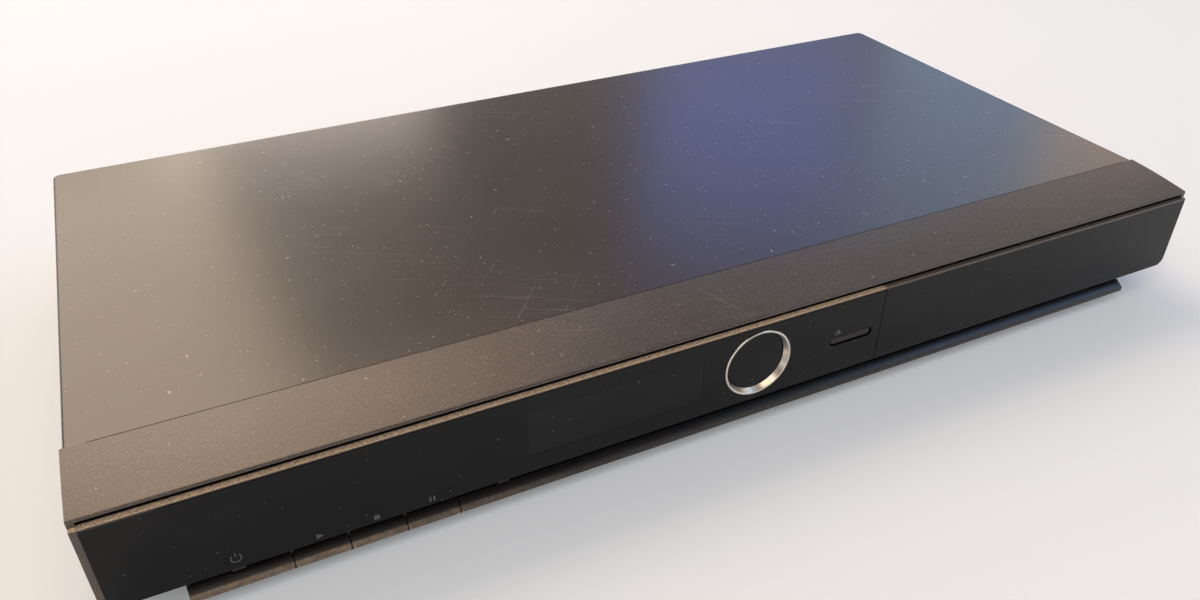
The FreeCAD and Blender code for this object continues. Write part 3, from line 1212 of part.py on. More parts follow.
def make_rear_panel():
    z1 = CEILING - COVER_BEND + 0.4
    x = PAN_HALF - COVER_CORNER / 2
    panel = block(-x, x, PANEL_IN, PANEL_Y, UNDER, z1)
    foot = block(-x + 2, x - 2, PANEL_IN - 8, PANEL_IN, FLOOR, FLOOR + SHEET)
    holes = []
    for name, (px, w, h, depth, proud) in port_boxes().items():
        half = w / 2 + PORT_GAP
        holes.append(block(px - half, px + half, PANEL_IN - 1, PANEL_Y + 1,
                           BOARD_TOP - PORT_GAP, BOARD_TOP + h + PORT_GAP))
    for px, pz in barrel_places():
        holes.append(rod_y(px, pz, BARREL_R + 0.5, PANEL_IN - 1, PANEL_Y + 1))
    r = FAN_SIZE / 2 - 2.5
    bars = 9
    pitch = 2 * r / bars
    for i in range(bars):
        bx = (i - (bars - 1) / 2) * pitch
        half = math.sqrt(r * r - bx * bx) - 0.5
        holes.append(block(FAN_X + bx - pitch * 0.3, FAN_X + bx + pitch * 0.3, PANEL_IN - 1, PANEL_Y + 1,
                           FAN_Z - half, FAN_Z + half))
    for cx in (TRAY_X - 25, TRAY_X + 25):
        for i in range(6):
            sx = cx + (i - 2.5) * 6.0
            holes.append(block(sx - 1.3, sx + 1.3, PANEL_IN - 1, PANEL_Y + 1, FLOOR + 14, FLOOR + 30))
    for sx, sz in rear_screws():
        holes.append(rod_y(sx, sz, SCREW_SHANK_R, PANEL_IN - 1, PANEL_Y + 1))
    flange = []
    for cx, cz in rear_screws():
        flange.append(block(cx - 5, cx + 5, PANEL_IN - 6, PANEL_IN, z1 - SHEET, z1))
    return join([panel, foot] + flange).cut(holes)


def make_hdmi_port():
    """A flat socket with bevelled lower corners and a tongue."""
    x, w, h, depth, proud = port_boxes()["hdmi"]
    y1 = PANEL_Y + proud
    z0 = BOARD_TOP + 0.8
    half = w / 2 - 0.5
    steps = [(x - half + 1.6, z0), (x + half - 1.6, z0), (x + half, z0 + 1.6), (x + half, z0 + 4.6),
             (x - half, z0 + 4.6), (x - half, z0 + 1.6)]
    mouth = prism("xz", steps, y1 - depth + 2, y1 + 1)
    tongue = block(x - 5, x + 5, y1 - depth + 1, y1 - 1.0, z0 + 1.9, z0 + 2.7)
    return join([port_shell("hdmi").cut(mouth), tongue])


def make_network_port():
    """A network socket: a square mouth with a latch notch above it."""
    x, w, h, depth, proud = port_boxes()["network"]
    y1 = PANEL_Y + proud
    z0 = BOARD_TOP + 1.6
    mouth = block(x - 5.9, x + 5.9, y1 - depth + 2, y1 + 1, z0, z0 + 7.6)
    notch = block(x - 3.0, x + 3.0, y1 - depth + 2, y1 + 1, z0 + 7, z0 + 10.4)
    contacts = block(x - 4.2, x + 4.2, y1 - depth + 1, y1 - depth + 5, z0 - 0.2, z0 + 1.0)
    return join([port_shell("network").cut([mouth, notch]), contacts])


def make_usb_port():
    x, w, h, depth, proud = port_boxes()["usb"]
    y1 = PANEL_Y + proud
    z0 = BOARD_TOP + 0.9
    mouth = block(x - w / 2 + 0.5, x + w / 2 - 0.5, y1 - depth + 2, y1 + 1, z0, z0 + 5.1)
    tongue = block(x - 5.5, x + 5.5, y1 - depth + 1, y1 - 1.2, z0 + 3.0, z0 + 4.6)
    return join([port_shell("usb").cut(mouth), tongue])


def make_optical_port():
    """An optical socket with a small square mouth, closed by its shutter."""
    x, w, h, depth, proud = port_boxes()["optical"]
    y1 = PANEL_Y + proud
    zc = BOARD_TOP + h / 2
    shell = port_shell("optical").cut(block(x - 3.3, x + 3.3, y1 - 1.2, y1 + 1, zc - 3.0, zc + 3.0))
    flap = prism("yz", [(y1 - 1.3, zc - 2.9), (y1 - 0.4, zc - 2.9), (y1 - 0.2, zc + 2.9), (y1 - 1.3, zc + 2.9)],
                 x - 3.1, x + 3.1)
    return join([shell, flap])


def make_mains_inlet():
    """A two-pin inlet: a figure-8 mouth with two round pins in it."""
    x, w, h, depth, proud = port_boxes()["inlet"]
    y1 = PANEL_Y + proud
    zc = BOARD_TOP + h / 2
    floor_y = y1 - depth + 6
    lobes = [rod_y(x + side * 4.3, zc, 4.4, floor_y, y1 + 1) for side in (-1, 1)]
    mouth = lobes[0].fuse([lobes[1], block(x - 4.3, x + 4.3, floor_y, y1 + 1, zc - 3.4, zc + 3.4)])
    pins = [rod_y(x + side * 4.3, zc, 1.2, floor_y - 1, y1 - 2.5) for side in (-1, 1)]
    return join([port_shell("inlet").cut(mouth)] + pins)


def make_av_block():
    """The black housing that carries two rows of three phono sockets."""
    y1 = PANEL_IN
    w = 3 * BARREL_PITCH
    h = 2 * BARREL_PITCH + 2
    body = block(AV_X - w / 2, AV_X + w / 2, y1 - 11, y1, BOARD_TOP, BOARD_TOP + h)
    collars = [rod_y(px, pz, BARREL_R + 0.3, y1 - 1, PANEL_Y) for px, pz in barrel_places()]
    seats = [rod_y(px, pz, BARREL_R - 0.9, y1 - 6, PANEL_Y + 1) for px, pz in barrel_places()]
    return join([body] + collars).cut(seats)


def make_phono_jack(place):
    """A phono socket: a metal barrel with a blind hole, standing out of the panel."""
    px, pz = place
    end = BACK + JACK_REACH
    root = PANEL_IN - 6
    steps = [(px + 1.6, end - 7.0), (px + 1.6, end), (px + BARREL_R - 0.5, end), (px + BARREL_R, end - 0.5),
             (px + BARREL_R, PANEL_Y), (px + BARREL_R - 0.9, PANEL_Y), (px + BARREL_R - 0.9, root), (px, root),
             (px, end - 7.0)]
    return spin("xy", steps, V(px, PANEL_Y, pz), V(0, 1, 0))


def standoffs(x0, width, depth, clear_back):
    """The screw places near a board's corners. The back pair keeps clear of the sockets."""
    left = x0 + BOARD_HOLE_INSET
    right = x0 + width - BOARD_HOLE_INSET
    front = BOARD_BACK - depth + BOARD_HOLE_INSET
    rear = BOARD_BACK - clear_back
    return [(left, front), (left, rear), (right, front), (right, rear)]


def board_standoffs():
    return standoffs(BOARD_LEFT, MAIN_BOARD_W, MAIN_BOARD_D, 21.0)


def power_standoffs():
    return standoffs(POWER_LEFT, POWER_BOARD_W, POWER_BOARD_D, 27.0)


def make_board(x0, width, depth, places):
    plate = block(x0, x0 + width, BOARD_BACK - depth, BOARD_BACK, BOARD_Z, BOARD_TOP)
    return plate.cut([rod_z(x, y, SCREW_SHANK_R + 0.2, BOARD_Z - 1, BOARD_TOP + 1) for x, y in places])


def make_board_screws():
    screws = [pan_screw(x, y, BOARD_TOP, V(0, 0, -1), 4.5) for x, y in board_standoffs() + power_standoffs()]
    for x in board_bosses():
        screws.append(pan_screw(x, SWITCH_Y + BOARD, BOSS_Z, V(0, -1, 0), 5.0))
    return Part.makeCompound(screws)


def make_loader_screws():
    low = [pan_screw(x, y, LOADER_BOTTOM + EAR_THICK, V(0, 0, -1), 5.5) for x, y in loader_ears()]
    high = [pan_screw(x, y, BRIDGE_TOP, V(0, 0, -1), BRIDGE_THICK + 5, 2.0, BRIDGE_SCREW_R, 1.3)
            for x, y in bridge_screw_places()]
    return Part.makeCompound(low + high)


def make_processor():
    half = CHIP_SIZE / 2
    return block(CHIP_X - half, CHIP_X + half, CHIP_Y - half, CHIP_Y + half, BOARD_TOP, BOARD_TOP + CHIP_H)


def make_heat_sink():
    """A finned aluminium block on the processor."""
    half = SINK_SIZE / 2
    z0 = BOARD_TOP + CHIP_H
    z1 = z0 + SINK_BASE
    base = block(CHIP_X - half, CHIP_X + half, CHIP_Y - half, CHIP_Y + half, z0, z1)
    pitch = (SINK_SIZE - FIN_THICK) / (FIN_COUNT - 1)
    fins = []
    for i in range(FIN_COUNT):
        x = CHIP_X - half + i * pitch
        fins.append(block(x, x + FIN_THICK, CHIP_Y - half, CHIP_Y + half, z1 - 0.5, z1 + FIN_H))
    return join([base] + fins)


def make_transformer():
    """A switching transformer: ferrite core halves round a wound bobbin."""
    x = POWER_LEFT + POWER_BOARD_W * 0.56
    y = POWER_FRONT + POWER_BOARD_D * 0.42
    z0 = BOARD_TOP + 2
    wind = WINDING_W / 2
    deep = WINDING_D / 2
    core = block(x - CORE_W / 2, x + CORE_W / 2, y - CORE_D / 2, y + CORE_D / 2, z0, z0 + CORE_H)
    bobbin = block(x - wind, x + wind, y - deep, y + deep, z0 + 2, z0 + CORE_H - 2)
    bobbin = bobbin.makeFillet(wind * 0.45, upright_edges(bobbin, V(0, 1, 0)))
    pins = block(x - wind - 2, x + wind + 2, y - deep, y + deep, BOARD_TOP, z0 + 2.5)
    return join([core, bobbin, pins])


def make_bulk_capacitor():
    x = POWER_LEFT + POWER_BOARD_W * 0.32
    y = POWER_FRONT + POWER_BOARD_D * 0.66
    top = BOARD_TOP + CAPACITOR_H
    can = rod_z(x, y, CAPACITOR_R, BOARD_TOP, top)
    return can.makeFillet(0.8, [edge for edge in can.Edges if abs(edge.CenterOfMass.z - top) < 1e-6])


def make_front_board():
    z0 = UNDER + WALL + 0.2
    z1 = BOSS_Z + 4
    board = block(-CHIN_HALF + WALL + 1, SEAM_X - 4, SWITCH_Y, SWITCH_Y + BOARD, z0, z1)
    return board.cut([rod_y(x, BOSS_Z, SCREW_SHANK_R + 0.2, SWITCH_Y - 1, SWITCH_Y + 3) for x in board_bosses()])


def switch_places():
    return [(x, SWITCH_Z) for x in stem_places()] + [(EJECT_X, EJECT_Z)]


def make_tact_switches():
    """One push switch behind each key, on the front board."""
    switches = []
    for x, z in switch_places():
        body = block(x - 3, x + 3, SWITCH_Y - 3.4, SWITCH_Y, z - 1.8, z + 1.8)
        switches.append(join([body, rod_y(x, z, 1.2, SWITCH_TIP, SWITCH_Y - 3)]))
    return Part.makeCompound(switches)


def make_display_module():
    """The display: a glass block with a side pip, behind the window."""
    x = (WINDOW_LEFT + WINDOW_RIGHT) / 2
    z = (WINDOW_TOP + WINDOW_BOTTOM) / 2
    half = DISPLAY_W / 2
    high = DISPLAY_H / 2
    glass = block(x - half, x + half, FRONT_WALL_IN + 0.6, SWITCH_Y, z - high, z + high)
    pip = rod_x(FRONT_WALL_IN + 3.2, z, 1.6, x + half - 1, x + half + 3)
    return join([glass, pip])


def make_front_ribbon():
    """The flat cable from the front board back to the main board."""
    y0 = SWITCH_Y + BOARD
    y1 = BOARD_BACK - MAIN_BOARD_D + 6
    z0 = BOARD_TOP + 8
    under = [(y0, z0), (y0 + 12, z0 + 3), (y0 + 26, z0 + 3), (y1 - 6, BOARD_TOP + 5), (y1, BOARD_TOP)]
    upper = [(y, z + RIBBON_THICK) for y, z in reversed(under)]
    x = BOARD_LEFT + 14
    return prism("yz", under + upper, x, x + RIBBON_W)


def make_fan_frame():
    """The square fan housing with a round throat, a hub plate and four struts."""
    y1 = PANEL_IN - 0.1
    y0 = y1 - FAN_DEPTH
    half = FAN_SIZE / 2
    throat_r = half - FAN_RIM
    body = block(FAN_X - half, FAN_X + half, y0, y1, FAN_Z - half, FAN_Z + half)
    body = body.makeFillet(3.0, upright_edges(body, V(0, 1, 0)))
    body = body.cut(rod_y(FAN_X, FAN_Z, throat_r, y0 - 1, y1 + 1))
    hub = rod_y(FAN_X, FAN_Z, FAN_HUB_R + 0.5, y0, y0 + 1.2)
    shaft = rod_y(FAN_X, FAN_Z, SHAFT_R, y0 + 1, y1 - 1.5)
    struts = []
    for angle in (45, 135, 225, 315):
        strut = block(FAN_X + FAN_HUB_R - 1, FAN_X + throat_r + 0.7, y0, y0 + 1.2, FAN_Z - 1, FAN_Z + 1)
        struts.append(strut.rotate(V(FAN_X, y0, FAN_Z), V(0, 1, 0), angle))
    return join([body, hub, shaft] + struts)


def make_fan_rotor():
    """The rotor: a hub cup with leaning blades."""
    y1 = PANEL_IN - 0.9
    y0 = y1 - FAN_DEPTH + 2.6
    tip = FAN_SIZE / 2 - FAN_RIM - 0.7
    reach = rod_y(FAN_X, FAN_Z, tip, y0, y1)
    lean = FAN_HUB_R * 0.4
    root = [(FAN_X - lean, y0 + 0.5), (FAN_X - lean + 1.0, y0 + 0.3), (FAN_X + lean, y1 - 0.6),
            (FAN_X + lean - 1.0, y1 - 0.4)]
    pieces = [rod_y(FAN_X, FAN_Z, FAN_HUB_R, y0, y1)]
    for i in range(FAN_BLADES):
        blade = prism("xy", root, FAN_Z + FAN_HUB_R - 1, FAN_Z + tip)
        pieces.append(blade.rotate(V(FAN_X, y0, FAN_Z), V(0, 1, 0), 360.0 * i / FAN_BLADES).common(reach))
    return join(pieces).cut(rod_y(FAN_X, FAN_Z, SHAFT_R + RUN_GAP, y0 - 1, y1 - 0.4))


def save(name, shape):
    shape.exportStep("parts/" + name + ".step")


def build():
    os.makedirs("parts", exist_ok=True)
    save("front_bezel", make_front_bezel())
    save("fascia_panel", make_fascia_panel())
    save("display_window", make_display_window())
    save("ring_bezel", make_ring_bezel())
    save("ring_disc", make_ring_disc())
    save("ring_light_guide", make_ring_light_guide())
    save("eject_key", make_eject_key())
    for key, span, middle in zip(KEYS, key_spans(), stem_places()):
        save(key[0] + "_key", make_key(span[0], span[1], middle))
    save("lower_trim", make_lower_trim())
    save("light_guides", Part.makeCompound([make_light_guide(x) for x in guide_places()]))

    save("tray_front", make_tray_front())
    save("tray_fascia", make_tray_fascia())
    save("disc_tray", make_disc_tray())
    save("drive_gear", make_drive_gear())
    save("belt_pulley", make_belt_pulley())
    save("motor_pulley", make_motor_pulley())
    save("loading_belt", make_loading_belt())
    save("loading_motor", make_loading_motor())
    save("loader_frame", make_loader_frame())
    save("clamp_bridge", make_clamp_bridge())
    save("clamper", make_clamper())
    save("loader_screws", make_loader_screws())

    save("traverse_chassis", make_traverse_chassis())
    save("guide_rods", make_guide_rods())
    save("spindle_motor", make_spindle_motor())
    save("turntable", make_turntable())
    save("lead_screw", make_lead_screw())
    save("sled_motor", make_sled_motor())
    save("pickup_sled", make_pickup_sled())
    save("pickup_lens", make_pickup_lens())
    save("cam_slider", make_cam_slider())

    save("top_cover", make_top_cover())
    save("cover_screws", make_cover_screws())
    save("base_pan", make_base_pan())
    save("feet", make_feet())
    save("rear_panel", make_rear_panel())

    save("main_board", make_board(BOARD_LEFT, MAIN_BOARD_W, MAIN_BOARD_D, board_standoffs()))
    save("processor", make_processor())
    save("heat_sink", make_heat_sink())
    save("power_board", make_board(POWER_LEFT, POWER_BOARD_W, POWER_BOARD_D, power_standoffs()))
    save("power_transformer", make_transformer())
    save("bulk_capacitor", make_bulk_capacitor())
    save("front_board", make_front_board())
    save("tact_switches", make_tact_switches())
    save("display_module", make_display_module())
    save("front_ribbon", make_front_ribbon())
    save("board_screws", make_board_screws())

    save("hdmi_port", make_hdmi_port())
    save("network_port", make_network_port())
    save("usb_port", make_usb_port())
    save("optical_port", make_optical_port())
    save("mains_inlet", make_mains_inlet())
    save("av_block", make_av_block())
    save("phono_jacks", Part.makeCompound([make_phono_jack(place) for place in barrel_places()]))
    save("fan_frame", make_fan_frame())
    save("fan_rotor", make_fan_rotor())


build()
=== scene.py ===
import json
import math

import bpy
from mathutils import Matrix, Vector


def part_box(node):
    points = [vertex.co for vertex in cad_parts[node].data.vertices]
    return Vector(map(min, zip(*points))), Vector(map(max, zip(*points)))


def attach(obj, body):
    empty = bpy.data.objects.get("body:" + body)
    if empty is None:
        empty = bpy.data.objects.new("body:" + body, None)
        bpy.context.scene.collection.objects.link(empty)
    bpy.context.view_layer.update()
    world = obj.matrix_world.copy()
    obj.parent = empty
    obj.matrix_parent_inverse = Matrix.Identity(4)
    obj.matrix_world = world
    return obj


# Looks for a full-width disc player. Metres. +X is to the right seen from the front, +Y to the back.

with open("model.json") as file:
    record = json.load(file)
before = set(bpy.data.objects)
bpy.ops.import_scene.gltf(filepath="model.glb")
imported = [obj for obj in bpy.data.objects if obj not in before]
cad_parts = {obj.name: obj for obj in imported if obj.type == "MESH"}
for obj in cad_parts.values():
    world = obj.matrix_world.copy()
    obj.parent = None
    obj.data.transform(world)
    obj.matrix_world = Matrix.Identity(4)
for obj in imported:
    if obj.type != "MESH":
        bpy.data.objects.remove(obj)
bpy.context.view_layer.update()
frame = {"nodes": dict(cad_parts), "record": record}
scene = bpy.context.scene

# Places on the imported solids. FACE is the gloss front, SEAM is where the door of the tray begins,
# and LEDGE is the top of the moulding under the slot.
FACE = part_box("fascia_panel")[0].y
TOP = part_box("top_cover")[1].z
FASCIA_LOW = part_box("fascia_panel")[0].z
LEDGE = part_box("tray_front")[1].z
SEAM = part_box("fascia_panel")[1].x
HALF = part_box("front_bezel")[1].x
MM = 0.001

# Tints of what the satin paint and the flecked moulding mirror
WARM = (1.0, 0.91, 0.86)
BRONZE = (1.0, 0.87, 0.79)

# The painted highlight on the lit edge of the ledge, bright left of the seam, and the painted shade on the
# floor of the slot behind it
LEDGE_HIGHLIGHT_LOW = LEDGE - 0.3 * MM
LEDGE_HIGHLIGHT_HIGH = LEDGE + 0.5 * MM
LEDGE_HIGHLIGHT_BACK = FACE + 2.1 * MM
LEDGE_HIGHLIGHT_RIGHT = SEAM + 1.0 * MM
LEDGE_HIGHLIGHT_COLOUR = (0.84, 0.62, 0.40)
SLOT_FRONT = FACE + 1.9 * MM
SLOT_TOP = LEDGE + 2.3 * MM
SLOT_SHADE_COLOUR = (0.003, 0.0025, 0.002)

# The painted warm highlight on the lip of the keys, and the painted shade where their upper slope turns dark
LIP_BACK = FACE + 0.9 * MM
LIP_TOP = FASCIA_LOW + 2.0 * MM
LIP_HIGHLIGHT_COLOUR = (0.27, 0.20, 0.14)
SLOPE_FRONT = FACE + 0.5 * MM
SLOPE_SHADE_COLOUR = (0.006, 0.005, 0.005)


# Materials

class Nodes:
    """Steps that build a node tree. A value is a number, a colour or the output of another node."""

    def __init__(self, tree):
        self.tree = tree

    def node(self, kind, inputs=None, **settings):
        n = self.tree.nodes.new(kind)
        for key, value in settings.items():
            setattr(n, key, value)
        for key, value in (inputs or {}).items():
            if isinstance(value, bpy.types.NodeSocket):
                self.tree.links.new(value, n.inputs[key])
            else:
                n.inputs[key].default_value = value
        return n

    def ramp(self, source, low, high, start=0.0, end=1.0):
        """Carries a value from one range to another, held at both ends."""
        n = self.node("ShaderNodeMapRange", {"Value": source, "From Min": low, "From Max": high,
                                             "To Min": start, "To Max": end}, clamp=True)
        return n.outputs[0]

    def times(self, a, b):
        return self.node("ShaderNodeMath", {0: a, 1: b}, operation="MULTIPLY").outputs[0]

    def plus(self, a, b):
        return self.node("ShaderNodeMath", {0: a, 1: b}, operation="ADD", use_clamp=True).outputs[0]

    def mix(self, amount, a, b):
        """Colour a where the amount is 0, colour b where it is 1."""
        a, b = (c if isinstance(c, bpy.types.NodeSocket) else c + (1.0,) for c in (a, b))
        return self.node("ShaderNodeMix", {"Factor": amount, 6: a, 7: b}, data_type="RGBA").outputs[2]


class Finish(Nodes):
    """A procedural material. Its textures run in the object's own coordinates, in metres."""

    def __init__(self, name, colour, rough, metal=0.0, ior=1.5, alpha=1.0, tint=(1.0, 1.0, 1.0)):
        self.mat = bpy.data.materials.new(name)
        self.mat.use_nodes = True
        super().__init__(self.mat.node_tree)
        self.shader = self.tree.nodes["Principled BSDF"]
        self.place = self.tree.nodes.new("ShaderNodeTexCoord").outputs["Object"]
        self.set("Base Color", colour + (1.0,))
        self.set("Roughness", rough)
        self.set("Metallic", metal)
        self.set("IOR", ior)
        self.set("Alpha", alpha)
        self.set("Specular Tint", tint + (1.0,))

    def set(self, socket, value):
        self.shader.inputs[socket].default_value = value

    def feed(self, source, socket):
        self.tree.links.new(source, self.shader.inputs[socket])

    def stretch(self, x, y, z, turn=0.0):
        """The coordinates stretched along each axis, after a turn about Z."""
        turned = self.node("ShaderNodeMapping", {"Vector": self.place, "Rotation": (0.0, 0.0, turn)})
        return self.node("ShaderNodeMapping",
                         {"Vector": turned.outputs[0], "Scale": (x, y, z)}).outputs[0]

    def noise(self, scale, detail=2.0, rough=0.5, where=None):
        n = self.node("ShaderNodeTexNoise", {"Vector": where or self.place, "Scale": scale,
                                             "Detail": detail, "Roughness": rough})
        return n.outputs["Fac"]

    def cloud(self, scale, start, end, detail=3.0, low=0.3, high=0.7):
        """Noise carried to a range, such as an uneven roughness."""
        return self.ramp(self.noise(scale, detail), low, high, start, end)

    def axis(self, name):
        return self.node("ShaderNodeSeparateXYZ", {0: self.place}).outputs[name]

    def past(self, axis, place, soft):
        """1 past a place along an axis and 0 before it. A border below zero turns that round."""
        return self.ramp(self.axis(axis), place, place + soft)

    def bump(self, height, distance, strength=1.0):
        n = self.node("ShaderNodeBump", {"Height": height, "Distance": distance, "Strength": strength})
        self.feed(n.outputs[0], "Normal")


def darker(colour, share):
    return tuple(c * share for c in colour)


def lighter(colour, share, more=0.0):
    return tuple(min(1.0, c * share + more) for c in colour)


def specks(f, scale, size, share, seed):
    """Irregular specks, such as dust: most cells of a pattern stay empty."""
    wobble = f.node("ShaderNodeTexNoise", {"Vector": f.place, "Scale": scale * 2.2, "Detail": 2.0})
    pushed = f.node("ShaderNodeVectorMath", {0: wobble.outputs["Color"], "Scale": 0.9 / scale},
                    operation="SCALE")
    moved = f.node("ShaderNodeVectorMath", {0: f.place, 1: pushed.outputs[0]}, operation="ADD")
    start = (seed, seed * 0.7, seed * 0.3)
    where = f.node("ShaderNodeMapping", {"Vector": moved.outputs[0], "Location": start}).outputs[0]
    cell = f.node("ShaderNodeTexVoronoi", {"Vector": where, "Scale": scale})
    pick = f.node("ShaderNodeSeparateColor", {0: cell.outputs["Color"]})
    reach = f.ramp(pick.outputs[1], 0.0, 1.0, size * 0.4, size)
    inside = f.node("ShaderNodeMath", {0: cell.outputs["Distance"], 1: reach}, operation="LESS_THAN")
    return f.times(inside.outputs[0], f.ramp(pick.outputs[0], share, share * 0.9))


def hairs(f, turn, along, across, share):
    """Fine scratches: noise drawn out in one direction, of which only the crests show."""
    lines = f.noise(1.0, 3.0, 0.6, f.stretch(along, across, along, turn))
    patches = f.ramp(f.noise(22.0, 2.0), 0.52, 0.66)
    return f.times(f.ramp(lines, 1.0 - share, 1.02 - share), patches)


def satin_cover():
    """Satin black paint with a thin film of brown dust, specks and fine scratches."""
    f = Finish("cover_satin", (0.035, 0.031, 0.028), 0.36, ior=1.70, tint=WARM)
    film = f.ramp(f.noise(7.0, 4.0, 0.55), 0.3, 0.75)
    base = f.mix(film, (0.029, 0.0255, 0.023), (0.038, 0.033, 0.030))
    dust = f.plus(specks(f, 420.0, 0.16, 0.06, 0.0), specks(f, 900.0, 0.2, 0.09, 3.1))
    dust = f.plus(dust, f.times(specks(f, 170.0, 0.09, 0.04, 7.7), 0.8))
    scratch = f.plus(hairs(f, 0.5, 30.0, 1400.0, 0.36), hairs(f, -0.9, 24.0, 1700.0, 0.35))
    base = f.mix(f.times(scratch, 0.25), base, (0.3, 0.27, 0.24))
    f.feed(f.mix(f.times(dust, 0.75), base, (0.6, 0.55, 0.5)), "Base Color")
    f.feed(f.cloud(14.0, 0.23, 0.27), "Roughness")
    f.bump(f.noise(1400.0, 2.0), 0.00002, 0.2)
    return f.mat


def bronze_fleck(f):
    return f.ramp(f.noise(2300.0, 2.0, 0.6), 0.57, 0.68)


def flecked_moulding():
    """Textured black moulding with a fine bronze fleck, a painted highlight along the lit ledge under the slot
    and painted shade in the slot.
    """
    f = Finish("bezel_fleck", (0.05, 0.042, 0.035), 0.42, ior=1.75, tint=BRONZE)
    grain = f.noise(2600.0, 3.0, 0.6)
    fleck = bronze_fleck(f)
    base = f.mix(f.cloud(8.0, 0.0, 1.0, low=0.35, high=0.65), (0.036, 0.032, 0.029), (0.045, 0.040, 0.036))
    base = f.mix(f.times(fleck, 0.5), base, (0.34, 0.26, 0.18))
    # Painted highlight: the lit top edge of the ledge under the slot, brightest left of the seam, with a noisy
    # rim.
    leftward = f.ramp(f.axis("X"), LEDGE_HIGHLIGHT_RIGHT, LEDGE_HIGHLIGHT_RIGHT - 3.0 * MM, 0.15, 1.0)
    edge = f.times(f.past("Z", LEDGE_HIGHLIGHT_LOW, 0.2 * MM), f.past("Z", LEDGE_HIGHLIGHT_HIGH, -0.3 * MM))
    edge = f.times(edge, f.past("Y", LEDGE_HIGHLIGHT_BACK, -0.4 * MM))
    lit = f.times(edge, f.ramp(f.noise(1500.0, 4.0, 0.7), 0.38, 0.60, 0.35, 1.0))
    base = f.mix(f.times(lit, leftward), base, LEDGE_HIGHLIGHT_COLOUR)
    # Painted shade: the floor of the slot under the nose is darkened.
    slot_shade = f.times(f.past("Y", SLOT_FRONT, 0.4 * MM), f.past("Z", SLOT_TOP, -0.3 * MM))
    base = f.mix(slot_shade, base, SLOT_SHADE_COLOUR)
    dust = f.plus(specks(f, 500.0, 0.17, 0.08, 1.3), f.times(specks(f, 200.0, 0.1, 0.05, 5.1), 0.8))
    scratch = f.plus(hairs(f, 0.35, 26.0, 1300.0, 0.36), hairs(f, 1.1, 30.0, 1100.0, 0.35))
    base = f.mix(f.times(scratch, 0.35), base, (0.36, 0.31, 0.26))
    f.feed(f.mix(f.times(dust, 0.6), base, (0.5, 0.45, 0.4)), "Base Color")
    f.feed(f.cloud(20.0, 0.36, 0.42), "Roughness")
    f.bump(f.plus(f.times(grain, 0.8), f.times(fleck, 0.4)), 0.00004, 0.4)
    return f.mat


def flecked_keys():
    """The keys' satin moulding, with the bezel's bronze fleck, a painted warm highlight on the lip on the left
    and painted shade on the upper slope.
    """
    f = Finish("key_fleck", (0.04, 0.034, 0.028), 0.34, ior=1.42)
    base = f.mix(f.cloud(30.0, 0.0, 1.0, low=0.35, high=0.65), (0.010, 0.009, 0.009), (0.016, 0.014, 0.013))
    base = f.mix(f.times(bronze_fleck(f), 0.3), base, (0.3, 0.23, 0.16))
    # Painted highlight: warm light on the lower lip of the keys, strongest on the left.
    lip_highlight = f.times(f.past("Y", LIP_BACK, -0.5 * MM), f.ramp(f.axis("X"), -0.3 * HALF, -0.7 * HALF, 0.1, 1.0))
    lip_highlight = f.times(lip_highlight, f.past("Z", LIP_TOP, -2.0 * MM))
    lip_highlight = f.times(lip_highlight, f.ramp(f.noise(500.0, 3.0, 0.7), 0.3, 0.65, 0.4, 1.0))
    base = f.mix(lip_highlight, base, LIP_HIGHLIGHT_COLOUR)
    # Painted shade: the upper slope of the keys behind the lip is darkened.
    base = f.mix(f.past("Y", SLOPE_FRONT, 0.7 * MM), base, SLOPE_SHADE_COLOUR)
    scratch = hairs(f, 0.2, 30.0, 1200.0, 0.3)
    f.feed(f.mix(f.times(scratch, 0.4), base, (0.4, 0.34, 0.28)), "Base Color")
    f.feed(f.cloud(40.0, 0.3, 0.38), "Roughness")
    f.bump(f.noise(1400.0, 2.0), 0.00002, 0.4)
    return f.mat


def gloss_acrylic(name, colour, rough):
    """Deep gloss acrylic with faint wiping marks and a little dust."""
    f = Finish(name, colour, rough, ior=1.30)
    smear = f.noise(1.0, 4.0, 0.6, f.stretch(18.0, 18.0, 60.0))
    f.feed(f.ramp(smear, 0.35, 0.75, rough * 0.7, rough * 2.2), "Roughness")
    dust = f.plus(specks(f, 320.0, 0.11, 0.07, 2.2), f.times(specks(f, 700.0, 0.15, 0.06, 4.4), 0.7))
    base = f.mix(f.ramp(smear, 0.45, 0.8), colour, lighter(colour, 1.7, 0.002))
    f.feed(f.mix(f.times(dust, 0.7), base, (0.45, 0.44, 0.42)), "Base Color")
    return f.mat


def plain_moulding(name, colour, rough, grain=1800.0, depth=0.00002):
    """Moulded plastic or rubber with a fine grain and slight unevenness of colour."""
    f = Finish(name, colour, rough)
    tone = f.cloud(60.0, 0.0, 1.0)
    f.feed(f.mix(tone, darker(colour, 0.82), lighter(colour, 1.15, 0.004)), "Base Color")
    f.feed(f.cloud(110.0, rough * 0.88, min(1.0, rough * 1.12), 2.0), "Roughness")
    f.bump(f.noise(grain, 2.0), depth, 0.5)
    return f.mat


